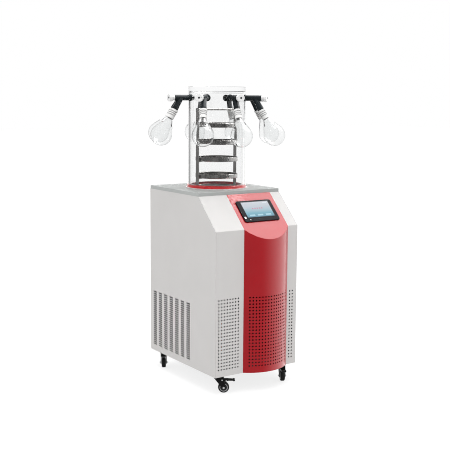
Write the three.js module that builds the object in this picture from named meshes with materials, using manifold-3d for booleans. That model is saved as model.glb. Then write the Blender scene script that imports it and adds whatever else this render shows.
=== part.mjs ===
// Floor-standing manifold freeze dryer. Millimetres, +Z up, front facing -Y.
// The cabinet's middle is X = 0, Y = 0 and the floor is Z = 0 while the pieces are made;
// the whole unit is then shifted so that the origin lies under the middle of its outline.

import * as THREE from "three";
import { mergeGeometries, mergeVertices } from "three/addons/utils/BufferGeometryUtils.js";
import Module from "manifold-3d";

const wasm = await Module();
wasm.setup();

// ---------------------------------------------------------------- driving sizes

const gap = 0.3; // seating clearance between neighbouring pieces
const sheet = 2; // thickness of the folded sheet-metal panels

const cabinet = { width: 450, depth: 576, height: 812, slopeRun: 144, slopeDrop: 142 };
const plate = { height: 16, flange: 14 };
const pan = { wall: 24 };

// Round vent holes of the three front panels and slots of the two sides. The real panels
// have a hole at every pitch; rowStep and columnStep say how many pitches lie between two
// holes that are cut here.
const vents = {
  pitch: 15, rows: 22, rowStep: 7, columnStep: 2, firstRow: 348, radius: 3.6, sides: 4,
  leftColumns: 8, leftMargin: 18, centreColumns: 15, rightColumns: 2, rightMargin: 16.5,
};
const slots = {
  columns: 7, columnPitch: 51, rows: 27, rowPitch: 10, rowStep: 6, firstRow: 295,
  rearMost: 244.5, length: 32, height: 4,
};

const centrePanel = { middle: 48, width: 245, bulge: 46, returnDepth: 22 };

const screen = {
  middle: 47, fromTop: 105, width: 194, height: 120, corner: 10, proud: 5,
  bodyWidth: 176, bodyHeight: 104, bodyDepth: 32,
  glassWidth: 160, glassHeight: 95, glassThickness: 1.6, glassX: 2, glassY: 7,
};

// The rack stands round the trays, and the chamber, its gasket and the trap fit the rack.
const tray = { radius: 100, height: 20, wall: 1.5, pitch: 79, lowest: 46, eye: 4, facets: 18 };
const rack = {
  trays: 4, room: 5, postWidth: 25, sheet: 2, top: 371, rim: 12, tab: 17,
  ringInside: 3.5, ringOutside: 6, ringThickness: 3,
};
rack.postInside = tray.radius + rack.room;
rack.postOutside = rack.postInside + rack.sheet;
rack.ringInner = rack.postInside - rack.ringInside;
rack.ringOuter = rack.postOutside + rack.ringOutside;

const chamber = {
  y: 49, room: 19, wall: 8, height: 448, facets: 24,
  lidThickness: 22, lidPlug: 8, portHeight: 419, ports: 8, firstPort: -7.5,
};
chamber.inside = rack.postOutside + chamber.room;
chamber.radius = chamber.inside + chamber.wall;
const gasket = { outerLip: 6, innerShelf: 8, base: 5, lip: 12, innerLip: 9 };
gasket.outer = chamber.radius + gasket.outerLip;
gasket.inner = chamber.inside - gasket.innerShelf;
const trap = {
  mouthInside: 1.5, wall: 2, depth: 230, flangeRim: 6, flangeThickness: 2, floorRadius: 24,
  pipeBelowPlate: 32, pipeRadius: 13, pipeBore: 10, wellClearance: 1,
};
trap.radius = rack.ringInner - trap.mouthInside;
trap.flange = gasket.outer + trap.flangeRim;
const coil = { tube: 5, turns: 5, pitch: 26, stepsPerTurn: 10, halfSides: 2, belowPlate: 62 };
// Outside end of the vacuum pipe: a wall collar, a stub and a clamping rim.
const pipeEnd = { collarThickness: 3, stub: 16, rimStart: 20, length: 24 };

const valve = {
  reach: 84, radius: 13, grommetRadius: 16, grommetThickness: 6, spigotRadius: 9,
  spigotInside: 9, bore: 4, branchFrom: 51, branchTilt: 30, branchRadius: 14,
  branchLength: 62, coneTop: 11, coneTip: 10, coneLength: 24, socketDepth: 14, socket: 8,
  facets: 8,
};
valve.outer = chamber.radius + valve.reach;
valve.spigotInner = chamber.inside - valve.spigotInside;
valve.branchAt = chamber.radius + valve.branchFrom;
// How far each valve, with its flask, is turned about its own axis, port by port.
const valveTurns = [-5, 0, 0, 0, -5, 11, 0, 11];
const knob = { length: 27, neck: 12.5, radius: 18, chamfer: 1.5, facets: 8 };
const flask = {
  rimRadius: 17.5, rimLength: 7, neckRadius: 14, neckEnd: 50, wall: 2.2,
  bulbRadius: 50, bulbAt: 132, facets: 9, arcSteps: 3,
};

const caster = {
  overWheel: 34, inset: 45, trail: 26, wheelRadius: 25, wheelWidth: 20, hubRadius: 8, axle: 3,
  dish: 4, dishRadius: 18, facets: 12,
  mount: 58, mountThickness: 3, kingpin: 5, kingpinLength: 16, crownRadius: 24,
  crownThickness: 8, cheek: 3, cheekGap: 1.5, bossRadius: 8,
};
caster.height = 2 * caster.wheelRadius + caster.overWheel;
const pedal = { width: 21, thickness: 5, beyondWheel: 26, pivotAt: 19, overWheel: 10, pin: 2, drop: 3 };
pedal.pivotZ = 2 * caster.wheelRadius + pedal.overWheel;
pedal.tip = caster.trail + caster.wheelRadius + pedal.beyondWheel;
// Heading of each caster's trailing wheel, in degrees from +X.
const casters = [
  { name: "front_left", side: -1, end: -1, heading: -34, brake: true },
  { name: "front_right", side: 1, end: -1, heading: -118, brake: true },
  { name: "rear_left", side: -1, end: 1, heading: -118, brake: false },
  { name: "rear_right", side: 1, end: 1, heading: 62, brake: false },
];

const compressor = {
  x: -95, y: 130, radius: 72, height: 190, foot: 84, footThickness: 6, facets: 12,
};
const condenser = {
  width: 300, depth: 36, height: 270, fromFront: 34, fins: 15, fin: 2, spine: 4, rail: 20,
  railThickness: 4, railLength: 160,
};
const fan = {
  radius: 100, hub: 24, hubLength: 30, bore: 4, blades: 5, blade: 2, pitch: 28, fromCore: 14,
  motorRadius: 30, motorLength: 46, postWidth: 34, postThickness: 8,
};
const inlet = { x: -150, z: 60, width: 48, height: 62, corner: 4, depth: 24, flange: 4 };
const socketHole = { width: 26, height: 18, depth: 16, fromMiddle: -12, pin: 4, pinDepth: 11 };
const rocker = { width: 16, height: 22, fromMiddle: 17, proud: 3, depth: 9, crest: 1.6 };
const rearVents = { columns: 2, columnPitch: 150, rows: 8, rowPitch: 26, length: 110, height: 6 };

// ---------------------------------------------------------------- derived places

const underZ = caster.height;
const topZ = underZ + cabinet.height;
const plateUnderZ = topZ - plate.height;
const panelTopZ = plateUnderZ - gap;
const sideX = cabinet.width / 2;
const frontY = -cabinet.depth / 2;
const rearY = cabinet.depth / 2;
const slopeTopY = frontY + cabinet.slopeRun;
const slopeFootZ = plateUnderZ - cabinet.slopeDrop;
const slopeLength = Math.hypot(cabinet.slopeRun, cabinet.slopeDrop);
const slopeAngle = Math.atan2(cabinet.slopeDrop, cabinet.slopeRun);
const innerX = sideX - sheet - gap; // inside the side panels
const centreLeftX = centrePanel.middle - centrePanel.width / 2;
const centreRightX = centrePanel.middle + centrePanel.width / 2;
const flangeTopZ = topZ + gap + trap.flangeThickness;
const gasketZ = flangeTopZ + gap;
const cylinderZ = gasketZ + gasket.base + gap;
const cylinderTopZ = topZ + chamber.height;
const portZ = topZ + chamber.portHeight;
const inletZ = underZ + inlet.z;

// The slope's plane, or a plane the given distance inside it.
const slopeZ = (y, inset = 0) =>
  slopeFootZ + ((y - frontY) * cabinet.slopeDrop) / cabinet.slopeRun
  - (inset * slopeLength) / cabinet.slopeRun;
const slopeY = (z, inset = 0) =>
  frontY + ((z - slopeFootZ) * cabinet.slopeRun) / cabinet.slopeDrop
  + (inset * slopeLength) / cabinet.slopeDrop;

// ---------------------------------------------------------------- materials

const finish = (color, roughness, metalness, extra = {}) =>
  new THREE.MeshStandardMaterial({ color, roughness, metalness, ...extra });
const greyPaint = finish(0xd2d1cf, 0.45, 0.1);
const redPaint = finish(0xb3262e, 0.4, 0.1);
const steel = finish(0xb9bbbc, 0.3, 0.9);
const copper = finish(0xb87345, 0.4, 0.9);
const blackPaint = finish(0x1c1d1f, 0.5, 0.2);
const blackPlastic = finish(0x24292b, 0.55, 0);
const whitePlastic = finish(0xe8e8e6, 0.4, 0);
const tyreGrey = finish(0x2a2a2b, 0.7, 0);
const redRubber = finish(0xc81e22, 0.5, 0);
const acrylic = finish(0xf2f6f7, 0.08, 0, { transparent: true, opacity: 0.25 });
const glass = finish(0xf4f8f8, 0.05, 0, { transparent: true, opacity: 0.3 });
const displayBlue = finish(0x6f9fd0, 0.15, 0);
const aluminium = finish(0xa9adb0, 0.4, 0.9);

// ---------------------------------------------------------------- solid helpers

// A closed geometry as a solid, with its faces turned outwards.
function solidOf(geometry) {
  const bare = geometry.clone();
  bare.deleteAttribute("normal");
  bare.deleteAttribute("uv");
  const merged = mergeVertices(bare, 1e-4);
  const place = merged.attributes.position;
  const index = Array.from(merged.index.array);
  const corners = [0, 1, 2].map(() => new THREE.Vector3());
  let volume = 0;
  const triangles = [];
  for (let i = 0; i < index.length; i += 3) {
    const [a, b, c] = index.slice(i, i + 3);
    if (a === b || b === c || a === c) continue;
    corners.forEach((corner, k) => corner.fromBufferAttribute(place, [a, b, c][k]));
    volume += corners[0].dot(corners[1].clone().cross(corners[2]));
    triangles.push(a, b, c);
  }
  if (volume < 0) triangles.reverse();
  return new wasm.Manifold(new wasm.Mesh({
    numProp: 3,
    vertProperties: Float32Array.from(place.array),
    triVerts: Uint32Array.from(triangles),
  }));
}

function geometryOf(solid) {
  const mesh = solid.getMesh();
  const geometry = new THREE.BufferGeometry();
  geometry.setAttribute("position", new THREE.BufferAttribute(mesh.vertProperties, 3));
  geometry.setIndex(new THREE.BufferAttribute(mesh.triVerts, 1));
  return geometry;
}

const joined = (...solids) => solids.reduce((whole, next) => whole.add(next));
const cut = (solid, ...tools) => tools.reduce((left, tool) => left.subtract(tool), solid);

function piece(name, solid, material) {
  const geometry = geometryOf(solid).toNonIndexed();
  geometry.computeVertexNormals();
  const mesh = new THREE.Mesh(geometry, material);
  mesh.name = name;
  return mesh;
}

const shapeOf = (points) => new THREE.Shape(points.map(([x, y]) => new THREE.Vector2(x, y)));
const flat = { bevelEnabled: false, curveSegments: 3 };

// A plan outline (x, y) raised from z0 to z1.
function riseZ(shape, z0, z1) {
  return new THREE.ExtrudeGeometry(shape, { ...flat, depth: z1 - z0 }).translate(0, 0, z0);
}

// A side outline (y, z) drawn out from x0 to x1.
function drawX(shape, x0, x1) {
  const turn = new THREE.Matrix4().makeBasis(
    new THREE.Vector3(0, 1, 0), new THREE.Vector3(0, 0, 1), new THREE.Vector3(1, 0, 0));
  return new THREE.ExtrudeGeometry(shape, { ...flat, depth: x1 - x0 })
    .applyMatrix4(turn).translate(x0, 0, 0);
}

// A front outline (x, z) drawn out from y0 to y1.
function drawY(shape, y0, y1) {
  const turn = new THREE.Matrix4().makeBasis(
    new THREE.Vector3(1, 0, 0), new THREE.Vector3(0, 0, 1), new THREE.Vector3(0, -1, 0));
  return new THREE.ExtrudeGeometry(shape, { ...flat, depth: y1 - y0 })
    .applyMatrix4(turn).translate(0, y1, 0);
}

// A box between two corners.
function block(x0, x1, y0, y1, z0, z1) {
  return new THREE.BoxGeometry(x1 - x0, y1 - y0, z1 - z0)
    .translate((x0 + x1) / 2, (y0 + y1) / 2, (z0 + z1) / 2);
}

function rectangle(width, height, x = 0, y = 0, corner = 0) {
  const shape = new THREE.Shape();
  const [w, h, r] = [width / 2, height / 2, corner];
  if (r === 0) {
    return shapeOf([[x - w, y - h], [x + w, y - h], [x + w, y + h], [x - w, y + h]]);
  }
  shape.absarc(x + w - r, y - h + r, r, -Math.PI / 2, 0);
  shape.absarc(x + w - r, y + h - r, r, 0, Math.PI / 2);
  shape.absarc(x - w + r, y + h - r, r, Math.PI / 2, Math.PI);
  shape.absarc(x - w + r, y - h + r, r, Math.PI, Math.PI * 1.5);
  return shape;
}

// A closed profile of (radius, height) points turned about Z.
function turned(points, facets, firstAngle = 0) {
  const profile = [...points, points[0]].map(([r, z]) => new THREE.Vector2(r, z));
  return new THREE.LatheGeometry(profile, facets, firstAngle).rotateX(Math.PI / 2);
}

// A round bar between two heights on the Z axis.
const bar = (radius, z0, z1, facets, endRadius = radius) =>
  new THREE.CylinderGeometry(endRadius, radius, z1 - z0, facets)
    .rotateX(Math.PI / 2).translate(0, 0, (z0 + z1) / 2);
// The same along X and along Y.
const barX = (radius, x0, x1, facets) => bar(radius, x0, x1, facets).rotateY(Math.PI / 2);
const barY = (radius, y0, y1, facets) => bar(radius, -y1, -y0, facets).rotateX(Math.PI / 2);

// The chamber's pieces share one faceting, with a flat facet at each port.
const chamberTurn = THREE.MathUtils.degToRad(chamber.firstPort) + Math.PI / chamber.facets;
const onChamber = (geometry) => geometry.translate(0, chamber.y, 0);
const roundTheChamber = (points) =>
  onChamber(turned(points, chamber.facets, Math.PI / 2 - chamberTurn));

// ---------------------------------------------------------------- cabinet

function basePan() {
  const [x, y0, y1] = [innerX, frontY + sheet + gap, rearY - sheet - gap];
  const outer = block(-x, x, y0, y1, underZ, underZ + pan.wall);
  const notch = block(centreLeftX, centreRightX, frontY, frontY + centrePanel.returnDepth + gap,
    underZ - gap, underZ + pan.wall + 1);
  const inner = block(-x + sheet, x - sheet, y0 + sheet, y1 - sheet, underZ + sheet,
    underZ + pan.wall + 1);
  const seats = casters.map((one) => {
    const [x0, y0] = casterPlace(one);
    const half = caster.mount / 2;
    const mount = block(x0 - half, x0 + half, y0 - half, y0 + half,
      underZ - caster.mountThickness, underZ + sheet / 2);
    const pin = bar(caster.kingpin, underZ - caster.kingpinLength, underZ, 10).translate(x0, y0, 0);
    return solidOf(mount).add(solidOf(pin));
  });
  const whole = joined(cut(solidOf(outer), solidOf(inner)), ...seats);
  return piece("base_pan", cut(whole, solidOf(notch)), greyPaint);
}

function sidePanel(name, side) {
  const outline = shapeOf([
    [frontY, underZ], [rearY, underZ], [rearY, panelTopZ], [slopeY(panelTopZ), panelTopZ],
    [frontY, slopeFootZ],
  ]);
  const [outerX, insideX] = [side * sideX, side * (sideX - sheet)];
  const [skinX0, skinX1] = [Math.min(outerX, insideX), Math.max(outerX, insideX)];
  const tools = [];
  for (let column = 0; column < slots.columns; column += 1) {
    for (let row = 0; row < slots.rows; row += slots.rowStep) {
      const y = slots.rearMost - column * slots.columnPitch;
      const z = underZ + slots.firstRow - row * slots.rowPitch;
      tools.push(block(skinX0 - 1, skinX1 + 1, y - slots.length / 2, y + slots.length / 2,
        z - slots.height / 2, z + slots.height / 2));
    }
  }
  const skin = cut(solidOf(drawX(outline, skinX0, skinX1)), solidOf(mergeGeometries(tools)));
  const y0 = slopeY(panelTopZ, sheet) + gap;
  const y1 = rearY - sheet - gap;
  const x1 = side * (sideX - sheet / 2);
  const x0 = side * (sideX - plate.flange);
  const fold = block(Math.min(x0, x1), Math.max(x0, x1), y0, y1, panelTopZ - sheet, panelTopZ);
  return piece(name, skin.add(solidOf(fold)), greyPaint);
}

// A flat field of vent holes through the front face, as one set of tools.
function frontHoles(firstX, columns) {
  const tools = [];
  for (let column = 0; column < columns; column += vents.columnStep) {
    for (let row = 0; row < vents.rows; row += vents.rowStep) {
      const hole = barY(vents.radius, frontY - sheet, frontY + 2 * sheet, vents.sides);
      const z = underZ + vents.firstRow - row * vents.pitch;
      tools.push(hole.translate(firstX + column * vents.pitch, 0, z));
    }
  }
  return solidOf(mergeGeometries(tools));
}

// A bent sheet that covers the slope and the front between two places across the cabinet.
function bentFront(name, x0, x1, firstHole, columns) {
  const profile = shapeOf([
    [slopeY(panelTopZ), panelTopZ], [frontY, slopeFootZ], [frontY, underZ],
    [frontY + sheet, underZ], [frontY + sheet, slopeZ(frontY + sheet, sheet)],
    [slopeY(panelTopZ, sheet), panelTopZ],
  ]);
  const skin = solidOf(drawX(profile, x0, x1));
  return piece(name, cut(skin, frontHoles(firstHole, columns)), greyPaint);
}

// Plan of the centre panel: an arc that bulges forward, inset by a wall, with a straight back.
function centrePlan(inset, backY) {
  const half = centrePanel.width / 2 - gap - inset;
  const chord = centrePanel.width / 2;
  const radius = (chord * chord + centrePanel.bulge ** 2) / (2 * centrePanel.bulge);
  const middleY = frontY - centrePanel.bulge + radius;
  const step = vents.pitch / radius;
  const reach = Math.asin(half / (radius - inset));
  const angles = [-reach];
  for (let k = -vents.centreColumns / 2; k <= vents.centreColumns / 2; k += 1) {
    angles.push(k * step);
  }
  angles.push(reach);
  const arc = angles.map((a) => [
    centrePanel.middle + (radius - inset) * Math.sin(a), middleY - (radius - inset) * Math.cos(a),
  ]);
  const back = [[centrePanel.middle + half, backY], [centrePanel.middle - half, backY]];
  return { shape: shapeOf([...arc, ...back]), radius, middleY, step };
}

// Side view of the centre panel: slope, front and floor, with a constant depth behind them.
function centreSide(inset, depth, floorZ) {
  const noseY = frontY - centrePanel.bulge - sheet;
  const top = panelTopZ + (inset > 0 ? 1 : 0);
  const backY = frontY + depth;
  return shapeOf([
    [slopeY(top, inset), top], [noseY, slopeZ(noseY, inset)], [noseY, floorZ], [backY, floorZ],
    [backY, slopeZ(backY, depth)], [slopeY(top, depth), top],
  ]);
}

function frontCentrePanel() {
  const depth = centrePanel.returnDepth;
  const { shape, radius, middleY, step } = centrePlan(0, rearY);
  const inner = centrePlan(sheet, rearY + 1).shape;
  const half = centrePanel.width;
  const outside = solidOf(riseZ(shape, underZ, topZ)).intersect(
    solidOf(drawX(centreSide(0, depth, underZ), centrePanel.middle - half, centrePanel.middle + half)));
  const inside = solidOf(riseZ(inner, underZ, topZ)).intersect(
    solidOf(drawX(centreSide(sheet, depth + 2 * sheet, underZ + sheet),
      centrePanel.middle - half, centrePanel.middle + half)));
  const tools = [];
  const last = (vents.centreColumns - 1) / 2;
  for (let column = -last; column <= last; column += vents.columnStep) {
    for (let row = 0; row < vents.rows; row += vents.rowStep) {
      const hole = barY(vents.radius, -radius - sheet, 3 * sheet - radius, vents.sides);
      hole.rotateZ(column * step).translate(centrePanel.middle, middleY,
        underZ + vents.firstRow - row * vents.pitch);
      tools.push(hole);
    }
  }
  const window = onSlope(block(
    screen.middle - screen.bodyWidth / 2 - gap, screen.middle + screen.bodyWidth / 2 + gap,
    -screen.fromTop - screen.bodyHeight / 2 - gap, -screen.fromTop + screen.bodyHeight / 2 + gap,
    -3 * sheet, sheet));
  const shell = cut(outside, inside, solidOf(mergeGeometries(tools)), solidOf(window));
  return piece("front_center_panel", shell, redPaint);
}

// Slope frame: X across, Y up the slope from its top edge, Z out of it.
function onSlope(geometry) {
  return geometry.rotateX(slopeAngle).translate(0, slopeTopY, plateUnderZ);
}

function topPlate() {
  const [y0, y1] = [slopeTopY, rearY];
  const outer = block(-sideX, sideX, y0, y1, plateUnderZ, topZ);
  const inner = block(sheet - sideX, sideX - sheet, y0 + sheet, y1 - sheet, plateUnderZ - 1,
    topZ - sheet);
  const opening = trap.radius + trap.wall + trap.wellClearance;
  const hole = roundTheChamber([
    [0, plateUnderZ], [opening, plateUnderZ], [opening, topZ + 1], [0, topZ + 1],
  ]);
  return piece("top_plate", cut(solidOf(outer), solidOf(inner), solidOf(hole)), greyPaint);
}

function rearPanel() {
  const [y0, y1] = [rearY - sheet, rearY];
  const tools = [];
  for (let column = 0; column < rearVents.columns; column += 1) {
    for (let row = 0; row < rearVents.rows; row += 1) {
      const x = (column - (rearVents.columns - 1) / 2) * rearVents.columnPitch;
      const z = underZ + vents.firstRow - row * rearVents.rowPitch;
      tools.push(block(x - rearVents.length / 2, x + rearVents.length / 2, y0 - 1, y1 + 1,
        z - rearVents.height / 2, z + rearVents.height / 2));
    }
  }
  tools.push(block(inlet.x - inlet.width / 2, inlet.x + inlet.width / 2, y0 - 1, y1 + 1,
    inletZ - inlet.height / 2, inletZ + inlet.height / 2));
  const pipe = barY(trap.pipeRadius + gap, y0 - 1, y1 + 1, 12)
    .translate(0, 0, plateUnderZ - trap.pipeBelowPlate);
  const skin = solidOf(block(-innerX, innerX, y0, y1, underZ, panelTopZ));
  return piece("rear_panel", cut(skin, solidOf(mergeGeometries(tools)), solidOf(pipe)), greyPaint);
}

// ---------------------------------------------------------------- touch screen

function screenBezel() {
  const middleY = -screen.fromTop;
  const rim = riseZ(rectangle(screen.width, screen.height, screen.middle, middleY, screen.corner),
    gap, gap + screen.proud);
  const body = block(screen.middle - screen.bodyWidth / 2, screen.middle + screen.bodyWidth / 2,
    middleY - screen.bodyHeight / 2, middleY + screen.bodyHeight / 2, -screen.bodyDepth,
    gap + screen.proud / 2);
  const recess = riseZ(
    rectangle(screen.glassWidth, screen.glassHeight, screen.middle + screen.glassX,
      middleY + screen.glassY),
    gap + screen.proud - screen.glassThickness - gap, 2 * screen.proud);
  return piece("screen_bezel",
    cut(solidOf(onSlope(rim)).add(solidOf(onSlope(body))), solidOf(onSlope(recess))), blackPlastic);
}

function displayGlass() {
  const top = gap + screen.proud;
  const pane = riseZ(
    rectangle(screen.glassWidth - 2 * gap, screen.glassHeight - 2 * gap,
      screen.middle + screen.glassX, screen.glassY - screen.fromTop),
    top - screen.glassThickness, top);
  return piece("display_glass", solidOf(onSlope(pane)), displayBlue);
}

// ---------------------------------------------------------------- cold trap and vacuum line

function coldTrapWell() {
  const z = topZ + gap;
  const floorZ = z - trap.depth;
  const [r, t, round] = [trap.radius, trap.wall, trap.floorRadius];
  const well = roundTheChamber([
    [0, floorZ], [r + t - round, floorZ], [r + t, floorZ + round], [r + t, z],
    [trap.flange, z], [trap.flange, flangeTopZ], [r, flangeTopZ], [r, floorZ + round],
    [r - round, floorZ + t], [0, floorZ + t],
  ]);
  const port = barY(trap.pipeBore, chamber.y + trap.radius - 4 * trap.wall,
    chamber.y + trap.radius + 4 * trap.wall, 8).translate(0, 0, plateUnderZ - trap.pipeBelowPlate);
  return piece("cold_trap_well", cut(solidOf(well), solidOf(port)), steel);
}

function evaporatorCoil() {
  class Helix extends THREE.Curve {
    getPoint(t, target = new THREE.Vector3()) {
      const angle = t * coil.turns * 2 * Math.PI;
      const inside = trap.radius + trap.wall + coil.tube + gap;
      const radius = inside / Math.cos(Math.PI / coil.stepsPerTurn);
      const z = plateUnderZ - coil.belowPlate - t * coil.turns * coil.pitch;
      return target.set(radius * Math.cos(angle), chamber.y + radius * Math.sin(angle), z);
    }
  }
  const section = new THREE.Shape();
  section.absarc(0, 0, coil.tube, 0, 2 * Math.PI);
  const tube = new THREE.ExtrudeGeometry(section, {
    steps: coil.turns * coil.stepsPerTurn, curveSegments: coil.halfSides, extrudePath: new Helix(),
    bevelEnabled: false,
  });
  return piece("evaporator_coil", solidOf(tube), copper);
}

function vacuumPort() {
  const z = plateUnderZ - trap.pipeBelowPlate;
  const start = chamber.y + trap.radius + trap.wall + gap;
  const [r, bore] = [trap.pipeRadius, trap.pipeBore];
  const collar = rearY + gap;
  const profile = [
    [bore, start], [r, start], [r, collar], [2 * r, collar],
    [2 * r, collar + pipeEnd.collarThickness], [r, collar + pipeEnd.collarThickness],
    [r, collar + pipeEnd.stub], [1.5 * r, collar + pipeEnd.rimStart],
    [1.5 * r, collar + pipeEnd.length], [bore, collar + pipeEnd.length],
  ];
  const tube = turned(profile, 12).rotateX(-Math.PI / 2).translate(0, 0, z);
  return piece("vacuum_port", solidOf(tube), steel);
}

// ---------------------------------------------------------------- refrigeration

function compressorCan() {
  const z = underZ + sheet + gap;
  const [r, h] = [compressor.radius, compressor.height];
  const foot = compressor.foot;
  const can = turned([
    [0, z], [0.8 * r, z], [r, z + 0.15 * h], [r, z + 0.5 * h], [1.05 * r, z + 0.5 * h],
    [1.05 * r, z + 0.54 * h], [r, z + 0.54 * h], [0.96 * r, z + 0.78 * h],
    [0.7 * r, z + 0.96 * h], [0, z + h],
  ], compressor.facets);
  const feet = riseZ(rectangle(2 * foot, 2 * foot, 0, 0, foot / 4), z, z + compressor.footThickness);
  const body = solidOf(can).add(solidOf(feet)).translate([compressor.x, compressor.y, 0]);
  return piece("compressor", body, blackPaint);
}

const coreY = frontY + condenser.fromFront;
const fanY = coreY + condenser.depth + fan.fromCore;
const railZ = underZ + sheet + gap;
const fanZ = railZ + condenser.railThickness + condenser.height / 2;

// Finned core on two rails, with the fan's motor on a post behind it.
function condenserCore() {
  const pitch = (condenser.width - condenser.fin) / (condenser.fins - 1);
  const comb = [[-condenser.width / 2, coreY + condenser.depth]];
  for (let k = 0; k < condenser.fins; k += 1) {
    const x = k * pitch - condenser.width / 2;
    comb.push([x, coreY], [x + condenser.fin, coreY]);
    if (k < condenser.fins - 1) {
      comb.push([x + condenser.fin, coreY + condenser.depth - condenser.spine],
        [x + pitch, coreY + condenser.depth - condenser.spine]);
    }
  }
  comb.push([condenser.width / 2, coreY + condenser.depth]);
  const coreZ = railZ + condenser.railThickness / 2;
  const core = solidOf(riseZ(shapeOf(comb), coreZ, coreZ + condenser.height));
  const railX = condenser.width / 2 - condenser.rail;
  const rails = [-1, 1].map((side) => solidOf(block(
    side * railX - condenser.rail / 2, side * railX + condenser.rail / 2, coreY,
    coreY + condenser.railLength, railZ, railZ + condenser.railThickness)));
  const postY = fanY + fan.hubLength + 2 * fan.fromCore;
  const cross = solidOf(block(-railX, railX, postY - fan.postWidth / 2, postY + fan.postWidth / 2,
    railZ, railZ + condenser.railThickness));
  const post = solidOf(block(-fan.postWidth / 2, fan.postWidth / 2,
    postY - fan.postThickness / 2, postY + fan.postThickness / 2, railZ, fanZ));
  const motor = solidOf(barY(fan.motorRadius, postY - fan.motorLength / 2,
    postY + fan.motorLength / 2, 12).translate(0, 0, fanZ));
  const shaft = solidOf(barY(fan.bore, fanY + fan.hubLength / 4, postY, 8).translate(0, 0, fanZ));
  return piece("condenser_core", joined(core, ...rails, cross, post, motor, shaft), aluminium);
}

function fanRotor() {
  const hub = solidOf(barY(fan.hub, 0, fan.hubLength, 12));
  const blades = Array.from({ length: fan.blades }, (_, k) => {
    const outline = new THREE.Shape();
    outline.moveTo(-0.3 * fan.hub, 0.8 * fan.hub);
    outline.quadraticCurveTo(-0.5 * fan.radius, 0.6 * fan.radius, -0.25 * fan.radius, fan.radius * 0.95);
    outline.quadraticCurveTo(0.1 * fan.radius, fan.radius, 0.32 * fan.radius, 0.9 * fan.radius);
    outline.lineTo(0.35 * fan.hub, 0.8 * fan.hub);
    const blade = drawY(outline, -fan.blade / 2, fan.blade / 2);
    blade.rotateZ(THREE.MathUtils.degToRad(fan.pitch)).translate(0, fan.hubLength / 2, 0);
    return solidOf(blade.rotateY((k * 2 * Math.PI) / fan.blades));
  });
  const bore = solidOf(barY(fan.bore + gap, fan.hubLength / 4 - gap, fan.hubLength + 1, 12));
  const rotor = cut(joined(hub, ...blades), bore).translate([0, fanY, fanZ]);
  return piece("fan_rotor", rotor, blackPlastic);
}

// ---------------------------------------------------------------- power inlet and switch

const inletFaceY = rearY + gap + inlet.flange;

function powerInlet() {
  const middle = [inlet.x, inletZ];
  const body = drawY(rectangle(inlet.width - 2 * gap, inlet.height - 2 * gap, ...middle),
    inletFaceY - inlet.depth, inletFaceY - 1);
  const flange = drawY(rectangle(inlet.width + 10, inlet.height + 10, ...middle, inlet.corner),
    rearY + gap, inletFaceY);
  const hole = drawY(rectangle(socketHole.width, socketHole.height, inlet.x,
    inletZ + socketHole.fromMiddle), inletFaceY - socketHole.depth, inletFaceY + 1);
  const pins = [[-1, -0.5], [0, 1], [1, -0.5]].map(([across, up]) => solidOf(drawY(
    rectangle(socketHole.pin / 2, socketHole.pin, inlet.x + (across * socketHole.width) / 4,
      inletZ + socketHole.fromMiddle + up * socketHole.pin),
    inletFaceY - socketHole.depth - 1, inletFaceY - socketHole.depth + socketHole.pinDepth)));
  const well = drawY(rectangle(rocker.width, rocker.height, inlet.x, inletZ + rocker.fromMiddle),
    inletFaceY - rocker.depth - rocker.proud, inletFaceY + 1);
  const housing = cut(solidOf(body).add(solidOf(flange)), solidOf(hole), solidOf(well));
  return piece("power_inlet", joined(housing, ...pins), blackPlastic);
}

// A rocker that tips about a pin across its well.
function powerSwitch() {
  const half = rocker.height / 2 - 4 * gap;
  const z = inletZ + rocker.fromMiddle;
  const profile = shapeOf([
    [inletFaceY - rocker.depth, z], [inletFaceY - 0.4 * rocker.depth, z - half],
    [inletFaceY + 1, z - half], [inletFaceY + rocker.crest - 1, z],
    [inletFaceY + rocker.proud, z + half], [inletFaceY - 0.4 * rocker.depth, z + half],
  ]);
  const x = rocker.width / 2 - gap;
  return piece("power_switch", solidOf(drawX(profile, inlet.x - x, inlet.x + x)), blackPlastic);
}

// ---------------------------------------------------------------- drying chamber

function chamberGasket() {
  const [inside, outside] = [chamber.inside, chamber.radius];
  const z = gasketZ;
  const ring = roundTheChamber([
    [gasket.inner, z], [gasket.outer, z], [gasket.outer, z + gasket.lip],
    [outside + gap, z + gasket.lip], [outside + gap, z + gasket.base],
    [inside - gap, z + gasket.base], [inside - gap, z + gasket.innerLip],
    [gasket.inner, z + gasket.innerLip],
  ]);
  return piece("chamber_gasket", solidOf(ring), redRubber);
}

function chamberCylinder() {
  const [inside, outside] = [chamber.inside, chamber.radius];
  const tube = roundTheChamber([
    [inside, cylinderZ], [outside, cylinderZ], [outside, cylinderTopZ], [inside, cylinderTopZ],
  ]);
  const holes = portAngles.map((angle) => solidOf(placeAtPort(
    barX(valve.spigotRadius + gap, inside - chamber.wall, outside + chamber.wall, valve.facets), angle)));
  return piece("chamber_cylinder", cut(solidOf(tube), ...holes), acrylic);
}

function chamberLid() {
  const z = cylinderTopZ + gap;
  const inside = chamber.inside - gap;
  const lid = roundTheChamber([
    [0, z - chamber.lidPlug], [inside, z - chamber.lidPlug], [inside, z], [chamber.radius, z],
    [chamber.radius, z + chamber.lidThickness - 2], [chamber.radius - 2, z + chamber.lidThickness],
    [0, z + chamber.lidThickness],
  ]);
  return piece("chamber_lid", solidOf(lid), acrylic);
}

// ---------------------------------------------------------------- shelf rack and trays

const trayZ = (level) => topZ + tray.lowest + level * tray.pitch;

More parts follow.
